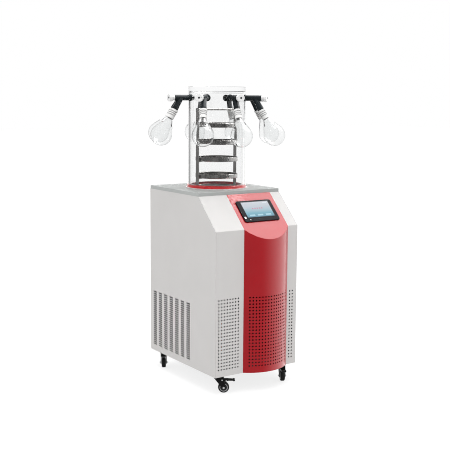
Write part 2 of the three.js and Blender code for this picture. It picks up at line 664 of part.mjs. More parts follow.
function shelfRack() {
  const standZ = flangeTopZ + gap;
  const topRackZ = topZ + rack.top;
  const facets = chamber.facets;
  const ring = turned([
    [rack.ringInner, standZ], [rack.ringOuter, standZ], [rack.ringOuter, standZ + rack.ringThickness],
    [rack.ringInner, standZ + rack.ringThickness],
  ], facets);
  const outer = rack.postOutside;
  const cap = turned([
    [0, topRackZ - rack.sheet], [outer - rack.sheet, topRackZ - rack.sheet],
    [outer - rack.sheet, topRackZ - rack.rim], [outer, topRackZ - rack.rim], [outer, topRackZ],
    [0, topRackZ],
  ], facets);
  const half = rack.postWidth / 2;
  const posts = [-1, 1].flatMap((side) => {
    const bars = [block(rack.postInside, outer, -half, half, standZ + 1, topRackZ - 1)];
    for (let level = 0; level < rack.trays; level += 1) {
      const z = trayZ(level) - gap;
      bars.push(block(rack.postInside - rack.tab, outer - rack.sheet / 2, -half, half,
        z - rack.sheet, z));
    }
    return bars.map((one) => solidOf(side > 0 ? one : one.rotateZ(Math.PI)));
  });
  const whole = joined(solidOf(ring), solidOf(cap), ...posts).translate([0, chamber.y, 0]);
  return piece("shelf_rack", whole, steel);
}

function trayDish(level) {
  const [r, h, t] = [tray.radius, tray.height, tray.wall];
  const dish = turned([
    [0, 0], [r - 2 * t, 0], [r, 2 * t], [r, h], [r - t, h], [r - t, 2.5 * t], [r - 2.5 * t, t],
    [0, t],
  ], tray.facets);
  const eye = barY(tray.eye, -r - t, 2 * t - r, 6).translate(0, 0, 0.45 * h);
  const solid = cut(solidOf(dish), solidOf(eye)).translate([0, chamber.y, trayZ(level)]);
  return piece(`tray_${level + 1}`, solid, steel);
}

// ---------------------------------------------------------------- valves and flasks

// Ports are counted from the one nearest the front, anticlockwise seen from above.
const portAngles = Array.from({ length: chamber.ports }, (_, k) =>
  THREE.MathUtils.degToRad(chamber.firstPort - 90 + (k * 360) / chamber.ports));

// Port frame: X out from the chamber's axis, Z up, at the height of the ports.
const placeAtPort = (geometry, angle) =>
  geometry.rotateZ(angle).translate(0, chamber.y, portZ);

// Branch frame: Z runs down the branch from the valve's axis, in the port frame.
function onBranch(geometry, turn) {
  return geometry.rotateY(Math.PI - THREE.MathUtils.degToRad(valve.branchTilt))
    .translate(valve.branchAt, 0, 0).rotateX(THREE.MathUtils.degToRad(turn));
}

function valveBody(index) {
  const turn = valveTurns[index];
  const wallX = chamber.radius + gap;
  const grommetX = wallX + valve.grommetThickness;
  const socketX = valve.outer - valve.socketDepth;
  const coneEnd = valve.branchLength + valve.coneLength;
  const parts = [
    turned([
      [0, valve.spigotInner], [valve.spigotRadius, valve.spigotInner],
      [valve.spigotRadius, wallX], [valve.grommetRadius, wallX], [valve.grommetRadius, grommetX],
      [valve.radius, grommetX], [valve.radius, valve.outer], [0, valve.outer],
    ], valve.facets).rotateY(Math.PI / 2),
    onBranch(turned([
      [0, 0], [valve.branchRadius, 0], [valve.branchRadius, valve.branchLength],
      [valve.coneTop, valve.branchLength], [valve.coneTip, coneEnd], [0, coneEnd],
    ], valve.facets), turn),
  ];
  const hollows = [
    barX(valve.bore, valve.spigotInner - 1, valve.branchAt, 4),
    barX(valve.socket, socketX, valve.outer + 1, valve.facets),
    onBranch(bar(valve.bore, 0, coneEnd + 1, 4), turn),
  ];
  const solid = cut(
    joined(...parts.map((one) => solidOf(placeAtPort(one, portAngles[index])))),
    ...hollows.map((one) => solidOf(placeAtPort(one, portAngles[index]))));
  return piece(`valve_body_${index + 1}`, solid, blackPlastic);
}

function valveKnob(index) {
  const x = valve.outer + gap;
  const stem = valve.socket * Math.cos(Math.PI / valve.facets) - gap; // turns in a faceted bore
  const grip = turned([
    [0, valve.outer - valve.socketDepth + gap], [stem, valve.outer - valve.socketDepth + gap],
    [stem, x], [knob.neck, x], [knob.radius, x + 0.6 * knob.length],
    [knob.radius, x + knob.length - knob.chamfer], [knob.radius - knob.chamfer, x + knob.length],
    [0, x + knob.length],
  ], knob.facets).rotateY(Math.PI / 2);
  return piece(`valve_knob_${index + 1}`, solidOf(placeAtPort(grip, portAngles[index])),
    whitePlastic);
}

// Pear-shaped flask: a beaded socket, a neck, a cone that meets the round bulb without a
// corner, and the same form again one wall inside it.
function sampleFlask(index) {
  const start = valve.branchLength + gap;
  const bulbZ = start + flask.bulbAt;
  const bulb = (radius, neckRadius, neckZ) => {
    const [dz, dr] = [bulbZ - neckZ, neckRadius];
    const slope = Math.asin(radius / Math.hypot(dz, dr)) - Math.atan2(dr, dz);
    return Array.from({ length: flask.arcSteps + 1 }, (_, k) => {
      const a = -slope + (k / flask.arcSteps) * (Math.PI / 2 + slope);
      return [radius * Math.cos(a), bulbZ + radius * Math.sin(a)];
    });
  };
  const neckZ = start + flask.neckEnd;
  const [neck, inner] = [flask.neckRadius, flask.neckRadius - flask.wall];
  const outside = [
    [flask.rimRadius, start], [flask.rimRadius, start + flask.rimLength],
    [neck, start + 1.5 * flask.rimLength], [neck, neckZ],
    ...bulb(flask.bulbRadius, neck, neckZ),
  ];
  const coneEnd = start + valve.coneLength;
  const fit = 1 / Math.cos(Math.PI / flask.facets); // a faceted socket clears the whole cone
  const inside = [
    ...bulb(flask.bulbRadius - flask.wall, inner, neckZ).reverse(),
    [inner, coneEnd + 2], [fit * (valve.coneTip + gap), coneEnd],
    [fit * (valve.coneTop + gap), start],
  ];
  outside[outside.length - 1][0] = 0;
  inside[0][0] = 0;
  const body = onBranch(turned([...outside, ...inside], flask.facets), valveTurns[index]);
  return piece(`flask_${index + 1}`, solidOf(placeAtPort(body, portAngles[index])), glass);
}

// ---------------------------------------------------------------- casters

const casterPlace = (one) =>
  [one.side * (sideX - caster.inset), one.end * (rearY - caster.inset)];

// Caster frame: Z on the kingpin, X towards the trailing wheel.
function placeCaster(solid, one) {
  const [x, y] = casterPlace(one);
  return solid.rotate([0, 0, one.heading]).translate([x, y, 0]);
}

function casterFork(one) {
  const crownTop = underZ - caster.mountThickness - gap;
  const crownBottom = crownTop - caster.crownThickness;
  const crown = cut(
    solidOf(bar(caster.crownRadius * 0.85, crownBottom, crownTop, caster.facets, caster.crownRadius)),
    solidOf(bar(caster.kingpin + gap, crownBottom - 1, crownTop + 1, 10)));
  const inner = caster.wheelWidth / 2 + caster.cheekGap;
  const [x, z, r] = [caster.trail, caster.wheelRadius, caster.bossRadius];
  const outline = new THREE.Shape();
  outline.moveTo(-caster.crownRadius * 0.6, crownBottom + 1);
  outline.lineTo(x - r, z);
  outline.absarc(x, z, r, Math.PI, 2 * Math.PI);
  outline.lineTo(caster.crownRadius * 0.8 + r, crownBottom - 2 * r);
  outline.lineTo(caster.crownRadius * 0.8, crownBottom + 1);
  const cheeks = [-inner - caster.cheek, inner].map((y) =>
    solidOf(drawY(outline, y, y + caster.cheek)));
  const pins = [solidOf(barY(caster.axle, -inner - 1, inner + 1, 8).translate(x, 0, z))];
  if (one.brake) {
    pins.push(solidOf(barY(pedal.pin, -inner - 1, inner + 1, 8)
      .translate(pedal.pivotAt, 0, pedal.pivotZ)));
  }
  return piece(`caster_fork_${one.name}`, placeCaster(joined(crown, ...cheeks, ...pins), one),
    blackPaint);
}

function casterWheel(one) {
  const half = Math.PI / caster.facets; // the wheel stands on the middle of a flat
  const r = caster.wheelRadius / Math.cos(half);
  const [w, hub, bore] = [caster.wheelWidth / 2, caster.hubRadius, caster.axle + gap];
  const wheel = turned([
    [bore, -w], [hub, caster.dish - w], [caster.dishRadius, caster.dish - w],
    [caster.dishRadius, -w], [r, -w], [r, w], [caster.dishRadius, w],
    [caster.dishRadius, w - caster.dish], [hub, w - caster.dish], [bore, w],
  ], caster.facets, half).rotateX(Math.PI / 2).translate(caster.trail, 0, caster.wheelRadius);
  return piece(`caster_wheel_${one.name}`, placeCaster(solidOf(wheel), one), tyreGrey);
}

// A tread plate between the cheeks, over the wheel.
function brakePedal(one) {
  const [x, z, t] = [pedal.pivotAt, pedal.pivotZ, pedal.thickness];
  const profile = shapeOf([
    [x - t, z - t / 2], [x + t, z - t + 1], [pedal.tip - 2 * t, z - pedal.drop - t / 2],
    [pedal.tip, z - 2 * pedal.drop - t / 2], [pedal.tip, z - pedal.drop],
    [pedal.tip - 2 * t, z + t / 2], [x + t, z + t - 1], [x - t, z + t / 2],
  ]);
  const plateSolid = solidOf(drawY(profile, -pedal.width / 2, pedal.width / 2));
  const hole = solidOf(barY(pedal.pin + gap, -pedal.width, pedal.width, 8).translate(x, 0, z));
  return piece(`brake_pedal_${one.name}`, placeCaster(cut(plateSolid, hole), one), blackPaint);
}

// ---------------------------------------------------------------- assembly

const each = (count, make) => Array.from({ length: count }, (_, k) => make(k));
const firstRightHole = centreRightX + vents.rightMargin;

const unit = new THREE.Group();
unit.add(
  basePan(),
  sidePanel("left_side_panel", -1),
  sidePanel("right_side_panel", 1),
  rearPanel(),
  bentFront("front_left_panel", -innerX, centreLeftX, vents.leftMargin - sideX, vents.leftColumns),
  frontCentrePanel(),
  bentFront("front_right_panel", centreRightX, innerX, firstRightHole, vents.rightColumns),
  topPlate(),
  screenBezel(),
  displayGlass(),
  coldTrapWell(),
  evaporatorCoil(),
  vacuumPort(),
  compressorCan(),
  condenserCore(),
  fanRotor(),
  powerInlet(),
  powerSwitch(),
  chamberGasket(),
  chamberCylinder(),
  chamberLid(),
  shelfRack(),
  ...each(rack.trays, trayDish),
  ...each(chamber.ports, valveBody),
  ...each(chamber.ports, valveKnob),
  ...each(chamber.ports, sampleFlask),
  ...casters.map(casterFork),
  ...casters.map(casterWheel),
  ...casters.filter((one) => one.brake).map(brakePedal),
);

const outline = new THREE.Box3().setFromObject(unit);
const middle = outline.getCenter(new THREE.Vector3());
unit.position.set(-middle.x, -middle.y, -outline.min.z);

const group = new THREE.Group();
group.name = "freeze_dryer";
group.add(unit);

export default group;
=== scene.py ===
"""Looks for a floor-standing manifold freeze dryer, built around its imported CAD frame.

Sizes are in metres. Points are written in the cabinet's own frame: X = 0 and Y = 0 in the middle of
the cabinet's plan, Z = 0 on the floor, front towards -Y. ORIGIN moves them into the CAD frame.
A part is a pair of lists, its points and its faces. A piece is a part with a name and a material.
"""
import math

import bmesh
import bpy
from mathutils import Matrix, Vector


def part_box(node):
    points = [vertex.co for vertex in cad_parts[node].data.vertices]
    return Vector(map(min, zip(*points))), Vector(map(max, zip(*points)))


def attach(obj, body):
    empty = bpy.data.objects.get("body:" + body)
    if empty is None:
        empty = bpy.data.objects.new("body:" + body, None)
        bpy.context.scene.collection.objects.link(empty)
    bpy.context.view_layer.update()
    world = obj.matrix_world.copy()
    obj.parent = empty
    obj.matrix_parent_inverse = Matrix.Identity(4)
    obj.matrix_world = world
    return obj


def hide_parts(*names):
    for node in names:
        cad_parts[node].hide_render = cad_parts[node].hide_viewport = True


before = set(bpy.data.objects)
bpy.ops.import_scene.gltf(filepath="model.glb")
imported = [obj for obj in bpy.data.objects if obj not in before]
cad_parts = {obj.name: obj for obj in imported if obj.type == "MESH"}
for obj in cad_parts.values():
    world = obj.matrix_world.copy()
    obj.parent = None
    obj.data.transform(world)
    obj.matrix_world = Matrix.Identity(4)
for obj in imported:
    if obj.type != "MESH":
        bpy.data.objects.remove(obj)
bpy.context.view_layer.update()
scene = bpy.context.scene

# ------------------------------------------------------------------ sizes shared by sections

HALF_X, FRONT, REAR = 0.225, -0.288, 0.288
ORIGIN = Vector((0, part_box("rear_panel")[1].y - REAR, 0))
UNDER, TOP, PLATE = 0.084, 0.896, 0.016  # cabinet's underside, its top, and the top plate's height
SHEET, GAP = 0.002, 0.0003  # sheet steel, and the clearance between neighbours
PLATE_UNDER = TOP - PLATE
PANEL_TOP = PLATE_UNDER - GAP
PITCH, HOLE, ROWS, FIRST_ROW = 0.015, 0.0038, 22, UNDER + 0.348  # of the vent holes
CHAMBER_Y = 0.049
CHAMBER = Matrix.Translation((0, CHAMBER_Y, 0))
FLANGE_TOP = TOP + GAP + 0.002
TUBE, TUBE_WALL, TUBE_TOP, PORT_Z = 0.134, 0.008, TOP + 0.448, TOP + 0.419
SIDES = ((-1, "left"), (1, "right"))

# ------------------------------------------------------------------ materials


def feed(tree, node, inputs):
    """Gives each named input of a node its value, or links it to another node's output."""
    for name, value in inputs.items():
        if isinstance(value, bpy.types.NodeSocket):
            tree.links.new(value, node.inputs[name])
        else:
            node.inputs[name].default_value = value
    return node


def noise(tree, scale, detail, stretch=(1, 1, 1)):
    """A noise field in the object's own coordinates, stretched by axis."""
    place = tree.nodes.new("ShaderNodeTexCoord").outputs["Object"]
    mapping = feed(tree, tree.nodes.new("ShaderNodeMapping"), {"Vector": place, "Scale": stretch})
    field = feed(tree, tree.nodes.new("ShaderNodeTexNoise"),
                 {"Vector": mapping.outputs["Vector"], "Scale": scale, "Detail": detail})
    return field.outputs["Fac"]


def ramp(tree, source, stops):
    made = feed(tree, tree.nodes.new("ShaderNodeValToRGB"), {"Fac": source})
    for stop, (place, color) in zip(made.color_ramp.elements, stops[:2]):
        stop.position, stop.color = place, (*color, 1)
    for place, color in stops[2:]:
        made.color_ramp.elements.new(place).color = (*color, 1)
    return made.outputs["Color"]


def bump(tree, shader, height, distance):
    made = feed(tree, tree.nodes.new("ShaderNodeBump"),
                {"Height": height, "Distance": distance, "Strength": 1.0})
    feed(tree, shader, {"Normal": made.outputs["Normal"]})


def math_node(tree, operation, *values):
    made = tree.nodes.new("ShaderNodeMath")
    made.operation = operation
    feed(tree, made, dict(enumerate(values)))
    return made.outputs[0]


def smooth_step(tree, value, first, last, height=1.0):
    made = tree.nodes.new("ShaderNodeMapRange")
    made.interpolation_type = "SMOOTHSTEP"
    feed(tree, made, {"Value": value, "From Min": first, "From Max": last, "To Min": 0.0, "To Max": height})
    return made.outputs["Result"]


def mixed(tree, factor, a, b, kind="FLOAT", blend="MIX"):
    made = tree.nodes.new("ShaderNodeMix")
    made.data_type, made.blend_type = kind, blend
    feed(tree, made, {"Factor": factor, "A": a, "B": b})
    return made.outputs["Result"]


def grey(value):
    return (value, value, value)


def new_material(name):
    mat = bpy.data.materials.new(name)
    mat.use_nodes = True
    return mat, mat.node_tree, mat.node_tree.nodes["Principled BSDF"]


def surface(name, color, rough, metal=0.0, vary=0.06, scale=9.0, grain=900.0, depth=2e-5,
            stretch=(1, 1, 1), rough_vary=0.12, coat=0.0, coat_rough=0.1, specular=0.5):
    """Colour that drifts a little over the surface, with uneven gloss and a fine relief."""
    mat, tree, shader = new_material(name)
    low, high = (tuple(min(1, c * (1 + sign * vary)) for c in color) for sign in (-1, 1))
    dull, bright = (grey(rough * (1 + sign * rough_vary)) for sign in (-1, 1))
    feed(tree, shader, {
        "Base Color": ramp(tree, noise(tree, scale, 3, stretch), [(0.3, low), (0.7, high)]),
        "Roughness": ramp(tree, noise(tree, scale * 2.3, 5, stretch), [(0.3, dull), (0.7, bright)]),
        "Metallic": metal, "Specular IOR Level": specular,
        "Coat Weight": coat, "Coat Roughness": coat_rough})
    bump(tree, shader, noise(tree, grain, 2, stretch), depth)
    return mat


def clear(name, tint, ior, edge):
    """Clear plastic or glass, darker where its wall is seen on edge, as painted shade."""
    mat, tree, shader = new_material(name)
    low = tuple(c * 0.98 for c in tint)
    drift = ramp(tree, noise(tree, 14.0, 2), [(0.3, low), (0.7, tint)])
    # Painted shade: the colour darkens towards edge where the wall is seen on edge.
    slant = feed(tree, tree.nodes.new("ShaderNodeLayerWeight"), {"Blend": 0.5}).outputs["Facing"]
    painted_edge_shade = ramp(tree, slant, [(0.6, grey(1.0)), (1.0, grey(edge))])
    feed(tree, shader, {"Base Color": mixed(tree, 1.0, drift, painted_edge_shade, "RGBA", "MULTIPLY"),
                        "Roughness": 0.0, "Transmission Weight": 1.0, "IOR": ior})
    return mat


grey_paint = surface("grey_paint", (0.538, 0.527, 0.519), 0.42, vary=0.012, coat=0.08, coat_rough=0.25,
                     specular=0.3)
plate_paint = surface("plate_paint", (0.37, 0.383, 0.376), 0.55, vary=0.02, specular=0.1)
red_paint = surface("red_paint", (0.345, 0.003, 0.008), 0.36, vary=0.03, coat=0.6, coat_rough=0.2,
                    specular=0.2)
black_paint = surface("black_paint", (0.012, 0.012, 0.013), 0.38, vary=0.3)
# Near black on the panels' inner faces: painted shade for the inside of the cabinet, seen through its
# vents.
inside_painted_shade = surface("cabinet_inside_painted_shade", (0.018, 0.018, 0.019), 0.8, vary=0.3, grain=300, depth=1e-4,
                 specular=0.1)
filter_cloth = surface("filter_cloth", (0.010, 0.010, 0.011), 0.9, vary=0.4, grain=900, depth=2e-4,
                       specular=0.05)

steel = surface("brushed_steel", (0.62, 0.61, 0.60), 0.30, metal=1.0, vary=0.08, scale=30,
                grain=160, depth=2e-6, stretch=(1, 1, 14), rough_vary=0.2)
rack_steel = surface("rack_steel", (0.60, 0.585, 0.565), 0.34, metal=1.0, vary=0.12, scale=16,
                     grain=60, depth=1e-7, stretch=(1, 1, 0.5), rough_vary=0.1)
# Its strong tone drift, stretched into upright streaks, is painted reflection, the same on every tray.
tray_steel_painted_reflections = surface("tray_steel_painted_reflections", (0.46, 0.45, 0.44), 0.20, metal=1.0, vary=0.45, scale=26,
                     grain=60, depth=1e-7, stretch=(1, 1, 0.15), rough_vary=0.15)
trap_steel = surface("trap_steel", (0.78, 0.77, 0.76), 0.40, metal=0.25, vary=0.12, scale=22,
                     grain=90, depth=1e-6, stretch=(1, 1, 8), rough_vary=0.3)
zinc = surface("zinc", (0.66, 0.67, 0.68), 0.35, metal=0.35, grain=400)
# Darker than bare galvanised steel: painted shade for the base pan inside the cabinet.
galvanised_painted_shade = surface("galvanised_painted_shade", (0.16, 0.163, 0.166), 0.5, metal=0.6, vary=0.25, scale=40)
# Darker than bare fins: painted shade for the condenser inside the cabinet.
fin_metal_painted_shade = surface("fin_metal_painted_shade", (0.30, 0.305, 0.31), 0.4, metal=0.9, grain=300, stretch=(6, 1, 1))
copper_tube = surface("copper_tube", (0.60, 0.27, 0.13), 0.35, metal=1.0, vary=0.2)

valve_black = surface("valve_black", (0.010, 0.014, 0.016), 0.36, vary=0.3, grain=500, specular=0.35)
bezel_black = surface("bezel_black", (0.006, 0.006, 0.008), 0.5, vary=0.2, specular=0.08)
moulded_black = surface("moulded_black", (0.020, 0.021, 0.022), 0.5, grain=1400, depth=4e-5)
rocker_black = surface("rocker_black", (0.016, 0.016, 0.018), 0.3, vary=0.2)
caster_black = surface("caster_black", (0.008, 0.008, 0.008), 0.42, vary=0.3, grain=600, specular=0.2)
tyre = surface("tyre", (0.010, 0.010, 0.010), 0.62, vary=0.3, grain=700, depth=5e-5, specular=0.2)
wheel_hub = surface("wheel_hub", (0.030, 0.031, 0.032), 0.45, vary=0.15, specular=0.3)
hub_ring = surface("hub_ring", (0.34, 0.345, 0.35), 0.35)
knob_white = surface("knob_white", grey(0.70), 0.30, vary=0.04, coat=0.3)
joint_white = surface("joint_white", (0.68, 0.68, 0.67), 0.45, vary=0.05, specular=0.3)
# A darker grey for the grooves of the flasks' joints: painted shade.
joint_groove_painted_shade = surface("joint_groove_painted_shade", grey(0.40), 0.6, vary=0.1)
lamp_white = surface("lamp_white", (0.80, 0.80, 0.78), 0.3, vary=0.03)
seal_red = surface("seal_red", (0.60, 0.022, 0.026), 0.30, vary=0.08, grain=400, coat=0.5)
panel_glass = surface("panel_glass", (0.012, 0.014, 0.018), 0.3, vary=0.1, grain=60, depth=2e-6,
                      specular=0.1)
# edge is how dark the painted shade gets where a wall is seen on edge.
acrylic = clear("acrylic", (0.99, 0.993, 0.993), ior=1.38, edge=0.92)
flask_glass = clear("flask_glass", (0.978, 0.982, 0.982), ior=1.25, edge=0.72)

# ------------------------------------------------------------------ outlines and profiles


def steps_between(start, end, count):
    return [start + (end - start) * k / count for k in range(count + 1)]


def arc(x, y, r, first, last, count):
    """Points round (x, y) from one angle to another, in degrees, with both ends."""
    return [(x + r * math.cos(a), y + r * math.sin(a))
            for a in (math.radians(d) for d in steps_between(first, last, count))]


def circle(x, y, r, count, tall=1):
    """Points round (x, y), on an ellipse where tall isn't 1."""
    return [(px, y + (py - y) * tall) for px, py in arc(x, y, r, 0, 360, count)[:-1]]


def eased(before, corner, after, radius, steps):
    """A corner as a short curve. A side too short for the radius makes it smaller."""
    c = Vector(corner)
    a, b = Vector(before) - c, Vector(after) - c
    r = min(radius, a.length / 2.2, b.length / 2.2)
    if r < 1e-6:
        return [tuple(c)]
    p, q = c + a.normalized() * r, c + b.normalized() * r
    return [tuple((1 - t) ** 2 * p + 2 * t * (1 - t) * c + t * t * q) for t in steps_between(0, 1, steps)]


def rounded(points, radius, steps=3):
    """An open profile with each corner between its ends eased."""
    corners = [p for three in zip(points, points[1:], points[2:]) for p in eased(*three, radius, steps)]
    return [points[0], *corners, points[-1]]


def loop(points, radius, steps=3):
    """A closed outline with each corner eased."""
    after = [*points[1:], points[0]]
    return [p for k, corner in enumerate(points)
            for p in eased(points[k - 1], corner, after[k], radius, steps)]


def rounded_box(x, y, width, height, r, steps=6):
    """A rounded rectangle, always with the same number of points."""
    return [p for qx, qy, start in ((1, -1, -90), (1, 1, 0), (-1, 1, 90), (-1, -1, 180))
            for p in arc(x + qx * (width / 2 - r), y + qy * (height / 2 - r), r, start, start + 90, steps)]


def both_ways(profile):
    """A profile of (radius, along) points, followed by its mirror image."""
    return [*profile, *((r, -along) for r, along in reversed(profile))]


def hole_points(x, y, r, half=0.0):
    """Sixteen points round a hole, from its lower left. half stretches it sideways to a slot."""
    made = []
    for px, py in arc(x, y, r, 225, 562.5, 15):
        aside = px - x
        made.append((px + (math.copysign(half, aside) if abs(aside) > 1e-6 * r else 0), py))
    if half:
        made[1], made[3] = (x - half, y - r), (x + half, y - r)
        made[9], made[11] = (x + half, y + r), (x - half, y + r)
    return made


# ------------------------------------------------------------------ parts and pieces


def piece(name, part, material, body, nodes=(), place=None, smooth=35, weighted=False):
    """A new object on its body, in the cabinet's frame or in place's.

    It takes the material given and stands for the CAD nodes named.
    Edges sharper than smooth degrees stay sharp, and weighted keeps large flat faces flat.
    """
    matrix = Matrix.Translation(ORIGIN) @ (place or Matrix())
    mesh = bpy.data.meshes.new(name)
    mesh.from_pydata([matrix @ Vector(v) for v in part[0]], [], part[1])
    mesh.materials.append(material)
    bm = bmesh.new()
    bm.from_mesh(mesh)
    bmesh.ops.recalc_face_normals(bm, faces=bm.faces)
    bm.to_mesh(mesh)
    bm.free()
    for face in mesh.polygons:
        face.use_smooth = True
    mesh.set_sharp_from_angle(angle=math.radians(smooth))
    obj = bpy.data.objects.new(name, mesh)
    scene.collection.objects.link(obj)
    if weighted:
        obj.modifiers.new("flat_faces_stay_flat", "WEIGHTED_NORMAL").keep_sharp = True
    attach(obj, body)
    if nodes:
        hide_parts(*nodes)
    return obj


def paint_inside_shade(obj, inward):
    """Paints the faces that look along inward near black, as painted shade for the cabinet's dark inside.
    """
    obj.data.materials.append(inside_painted_shade)
    for face in obj.data.polygons:
        if face.normal.dot(Vector(inward)) > 0.3:
            face.material_index = 1


def joined(parts):
    verts, faces = [], []
    for part_verts, part_faces in parts:
        start = len(verts)
        verts.extend(part_verts)
        faces.extend(tuple(i + start for i in face) for face in part_faces)
    return verts, faces


def moved(part, matrix):
    return [matrix @ Vector(v) for v in part[0]], part[1]


def lathe(profile, steps):
    """A profile of (radius, z) turned about Z. Radius 0 makes a pole.

    The profile is joined up from its end to its start, unless one of them is a pole.
    """
    verts, faces, rings = [], [], []
    for r, z in profile:
        count = steps if r > 1e-9 else 1
        rings.append(range(len(verts), len(verts) + count))
        verts.extend((x, y, z) for x, y in circle(0, 0, r, count))
    pairs = list(zip(rings, rings[1:]))
    if len(rings[0]) > 1 and len(rings[-1]) > 1:
        pairs.append((rings[-1], rings[0]))
    for a, b in pairs:
        for k in range(steps):
            n = (k + 1) % steps
            face = dict.fromkeys((a[k % len(a)], a[n % len(a)], b[n % len(b)], b[k % len(b)]))
            if len(face) > 2:
                faces.append(tuple(face))
    return verts, faces


def across(profile, steps):
    """A profile of (radius, y) turned about an axle along Y."""
    return moved(lathe([(r, -y) for r, y in profile], steps), Matrix.Rotation(math.pi / 2, 4, "X"))


def loft(loops, capped=True, closed=False):
    """Faces between loops of the same number of points, with both ends filled or joined up."""
    n = len(loops[0])
    verts = [tuple(p) for one in loops for p in one]
    faces = []
    for level in range(len(loops) - 1 + closed):
        a, b = level * n, ((level + 1) % len(loops)) * n
        faces.extend((a + k, a + (k + 1) % n, b + (k + 1) % n, b + k) for k in range(n))
    if capped and not closed:
        faces.append(tuple(range(n))[::-1])
        faces.append(tuple(range(len(verts) - n, len(verts))))
    return verts, faces


def scaled_ring(outline, z, scale):
    """An outline at height z, with scale(distance) applied to each point's reach from its middle."""
    middle = sum((Vector(p) for p in outline), Vector((0, 0))) / len(outline)
    spokes = [Vector(p) - middle for p in outline]
    return [(*(middle + spoke * scale(max(spoke.length, 1e-6))), z) for spoke in spokes]


def prism(outline, z0, z1, ease):
    """A closed outline in XY between two heights, with its rims eased inwards."""
    def ring(z, inset):
        return scaled_ring(outline, z, lambda reach: 1 - inset / reach)
    return loft([ring(z0, ease), ring(z0 + ease, 0), ring(z1 - ease, 0), ring(z1, ease)])


def box_part(low, high, ease=0.0008):
    (x0, y0, z0), (x1, y1, z1) = low, high
    return prism(loop([(x0, y0), (x1, y0), (x1, y1), (x0, y1)], ease * 1.5, 2), z0, z1, ease)


def on_edge(outline, y0, y1, ease=0.0004):
    """A side outline (x, z) between two places across, with eased edges."""
    part = prism([(x, -z) for x, z in outline], y0, y1, ease)
    return moved(part, Matrix.Rotation(-math.pi / 2, 4, "X"))


def sweep(points, radius, sides, side=None):
    """A round tube along points. side is square to a flat path, and None suits a level one."""
    loops = []
    for k, point in enumerate(points):
        ahead = (points[min(k + 1, len(points) - 1)] - points[max(k - 1, 0)]).normalized()
        out = ahead.cross(Vector((0, 0, 1))).normalized() if side is None else side
        up = out.cross(ahead)
        loops.append([point + radius * (x * out + y * up) for x, y in circle(0, 0, 1, sides)])
    return loft(loops)


def sheet_with_holes(outline, holes, thickness, bevel=0.0004):
    """A flat plate in XY, from z = -thickness to 0, with any number of holes and eased edges."""
    curve = bpy.data.curves.new("plate", "CURVE")
    curve.dimensions, curve.fill_mode = "2D", "BOTH"
    curve.extrude, curve.bevel_depth, curve.bevel_resolution = thickness / 2 - bevel, bevel, 1
    curve.offset = -bevel
    for points in [outline, *holes]:
        spline = curve.splines.new("POLY")
        spline.points.add(len(points) - 1)
        for point, (x, y) in zip(spline.points, points):
            point.co = (x, y, 0, 1)
        spline.use_cyclic_u = True
    obj = bpy.data.objects.new("plate", curve)
    scene.collection.objects.link(obj)
    bpy.context.view_layer.update()
    mesh = bpy.data.meshes.new_from_object(obj.evaluated_get(bpy.context.evaluated_depsgraph_get()))
    part = ([Vector((v.co.x, v.co.y, v.co.z - thickness / 2)) for v in mesh.vertices],
            [tuple(p.vertices) for p in mesh.polygons])
    bpy.data.objects.remove(obj)
    bpy.data.curves.remove(curve)
    bpy.data.meshes.remove(mesh)
    return part


def holed_sheet(us, vs, holes, at, thickness, block=1, wrap=False):
    """A sheet over grid lines us and vs, bent by at(u, v, depth), with both faces and its edges.

    holes maps the lower left cell of a block of cells to the sixteen points of its hole.
    """
    cols, rows = len(us) - 1, len(vs) - 1
    taken = {(i + a, j + b) for i, j in holes for a in range(block) for b in range(block)}
    verts, faces, index = [], [], {}

    def grid(i, j, side):
        key = (i % cols if wrap else i, j, side)
        if key not in index:
            index[key] = len(verts)
            verts.append(at(us[key[0]], vs[j], thickness * side))
        return index[key]

    def add(side, *corners):
        face = tuple(dict.fromkeys(corners))
        faces.append(face[::-1] if side else face)

    for side in (0, 1):
        for i in range(cols):
            for j in range(rows):
                if (i, j) not in taken:
                    add(side, grid(i, j, side), grid(i + 1, j, side), grid(i + 1, j + 1, side),
                        grid(i, j + 1, side))
    for (i, j), points in holes.items():
        rim = []
        for di, dj in ((1, 0), (0, 1), (-1, 0), (0, -1)):
            for _ in range(block):
                rim.append((i, j))
                i, j = i + di, j + dj
        starts = []
        for side in (0, 1):
            starts.append(len(verts))
            verts.extend(at(u, v, thickness * side) for u, v in points)
            near = [grid(*rim[int(k * block / 4 + 0.5) % len(rim)], side) for k in range(16)]
            for k in range(16):
                n = (k + 1) % 16
                add(side, near[k], near[n], starts[side] + n, starts[side] + k)
        for k in range(16):
            n = (k + 1) % 16
            add(0, starts[0] + k, starts[0] + n, starts[1] + n, starts[1] + k)
    for j in (0, rows):
        for i in range(cols):
            add(0, grid(i, j, 0), grid(i + 1, j, 0), grid(i + 1, j, 1), grid(i, j, 1))
    if not wrap:
        for i in (0, cols):
            for j in range(rows):
                add(0, grid(i, j, 0), grid(i, j + 1, 0), grid(i, j + 1, 1), grid(i, j, 1))
    return verts, faces


def holed_wall(r, wall, zs, row, angles, half, hole, steps):
    """A round wall with a hole at each angle, evenly spread.

    zs are its grid's heights, and row is the number of the one where the block of cells round a hole
    starts. half is half the width of that block, and steps is the number of cells between two holes.
    """
    us, holes = [], {}
    step = math.asin(half / r) / 2
    for middle in angles:
        holes[(len(us), row)] = [(middle + u / r, v) for u, v in hole]
        block = [middle + k * step for k in (-2, -1, 0, 1, 2)]
        us += [*block, *steps_between(block[-1], block[0] + 2 * math.pi / len(angles), steps)[1:-1]]
    us.append(us[0] + 2 * math.pi)

    def at(u, v, d):
        return (r - d) * math.cos(u), (r - d) * math.sin(u), v
    return holed_sheet(us, zs, holes, at, wall, block=4, wrap=True)


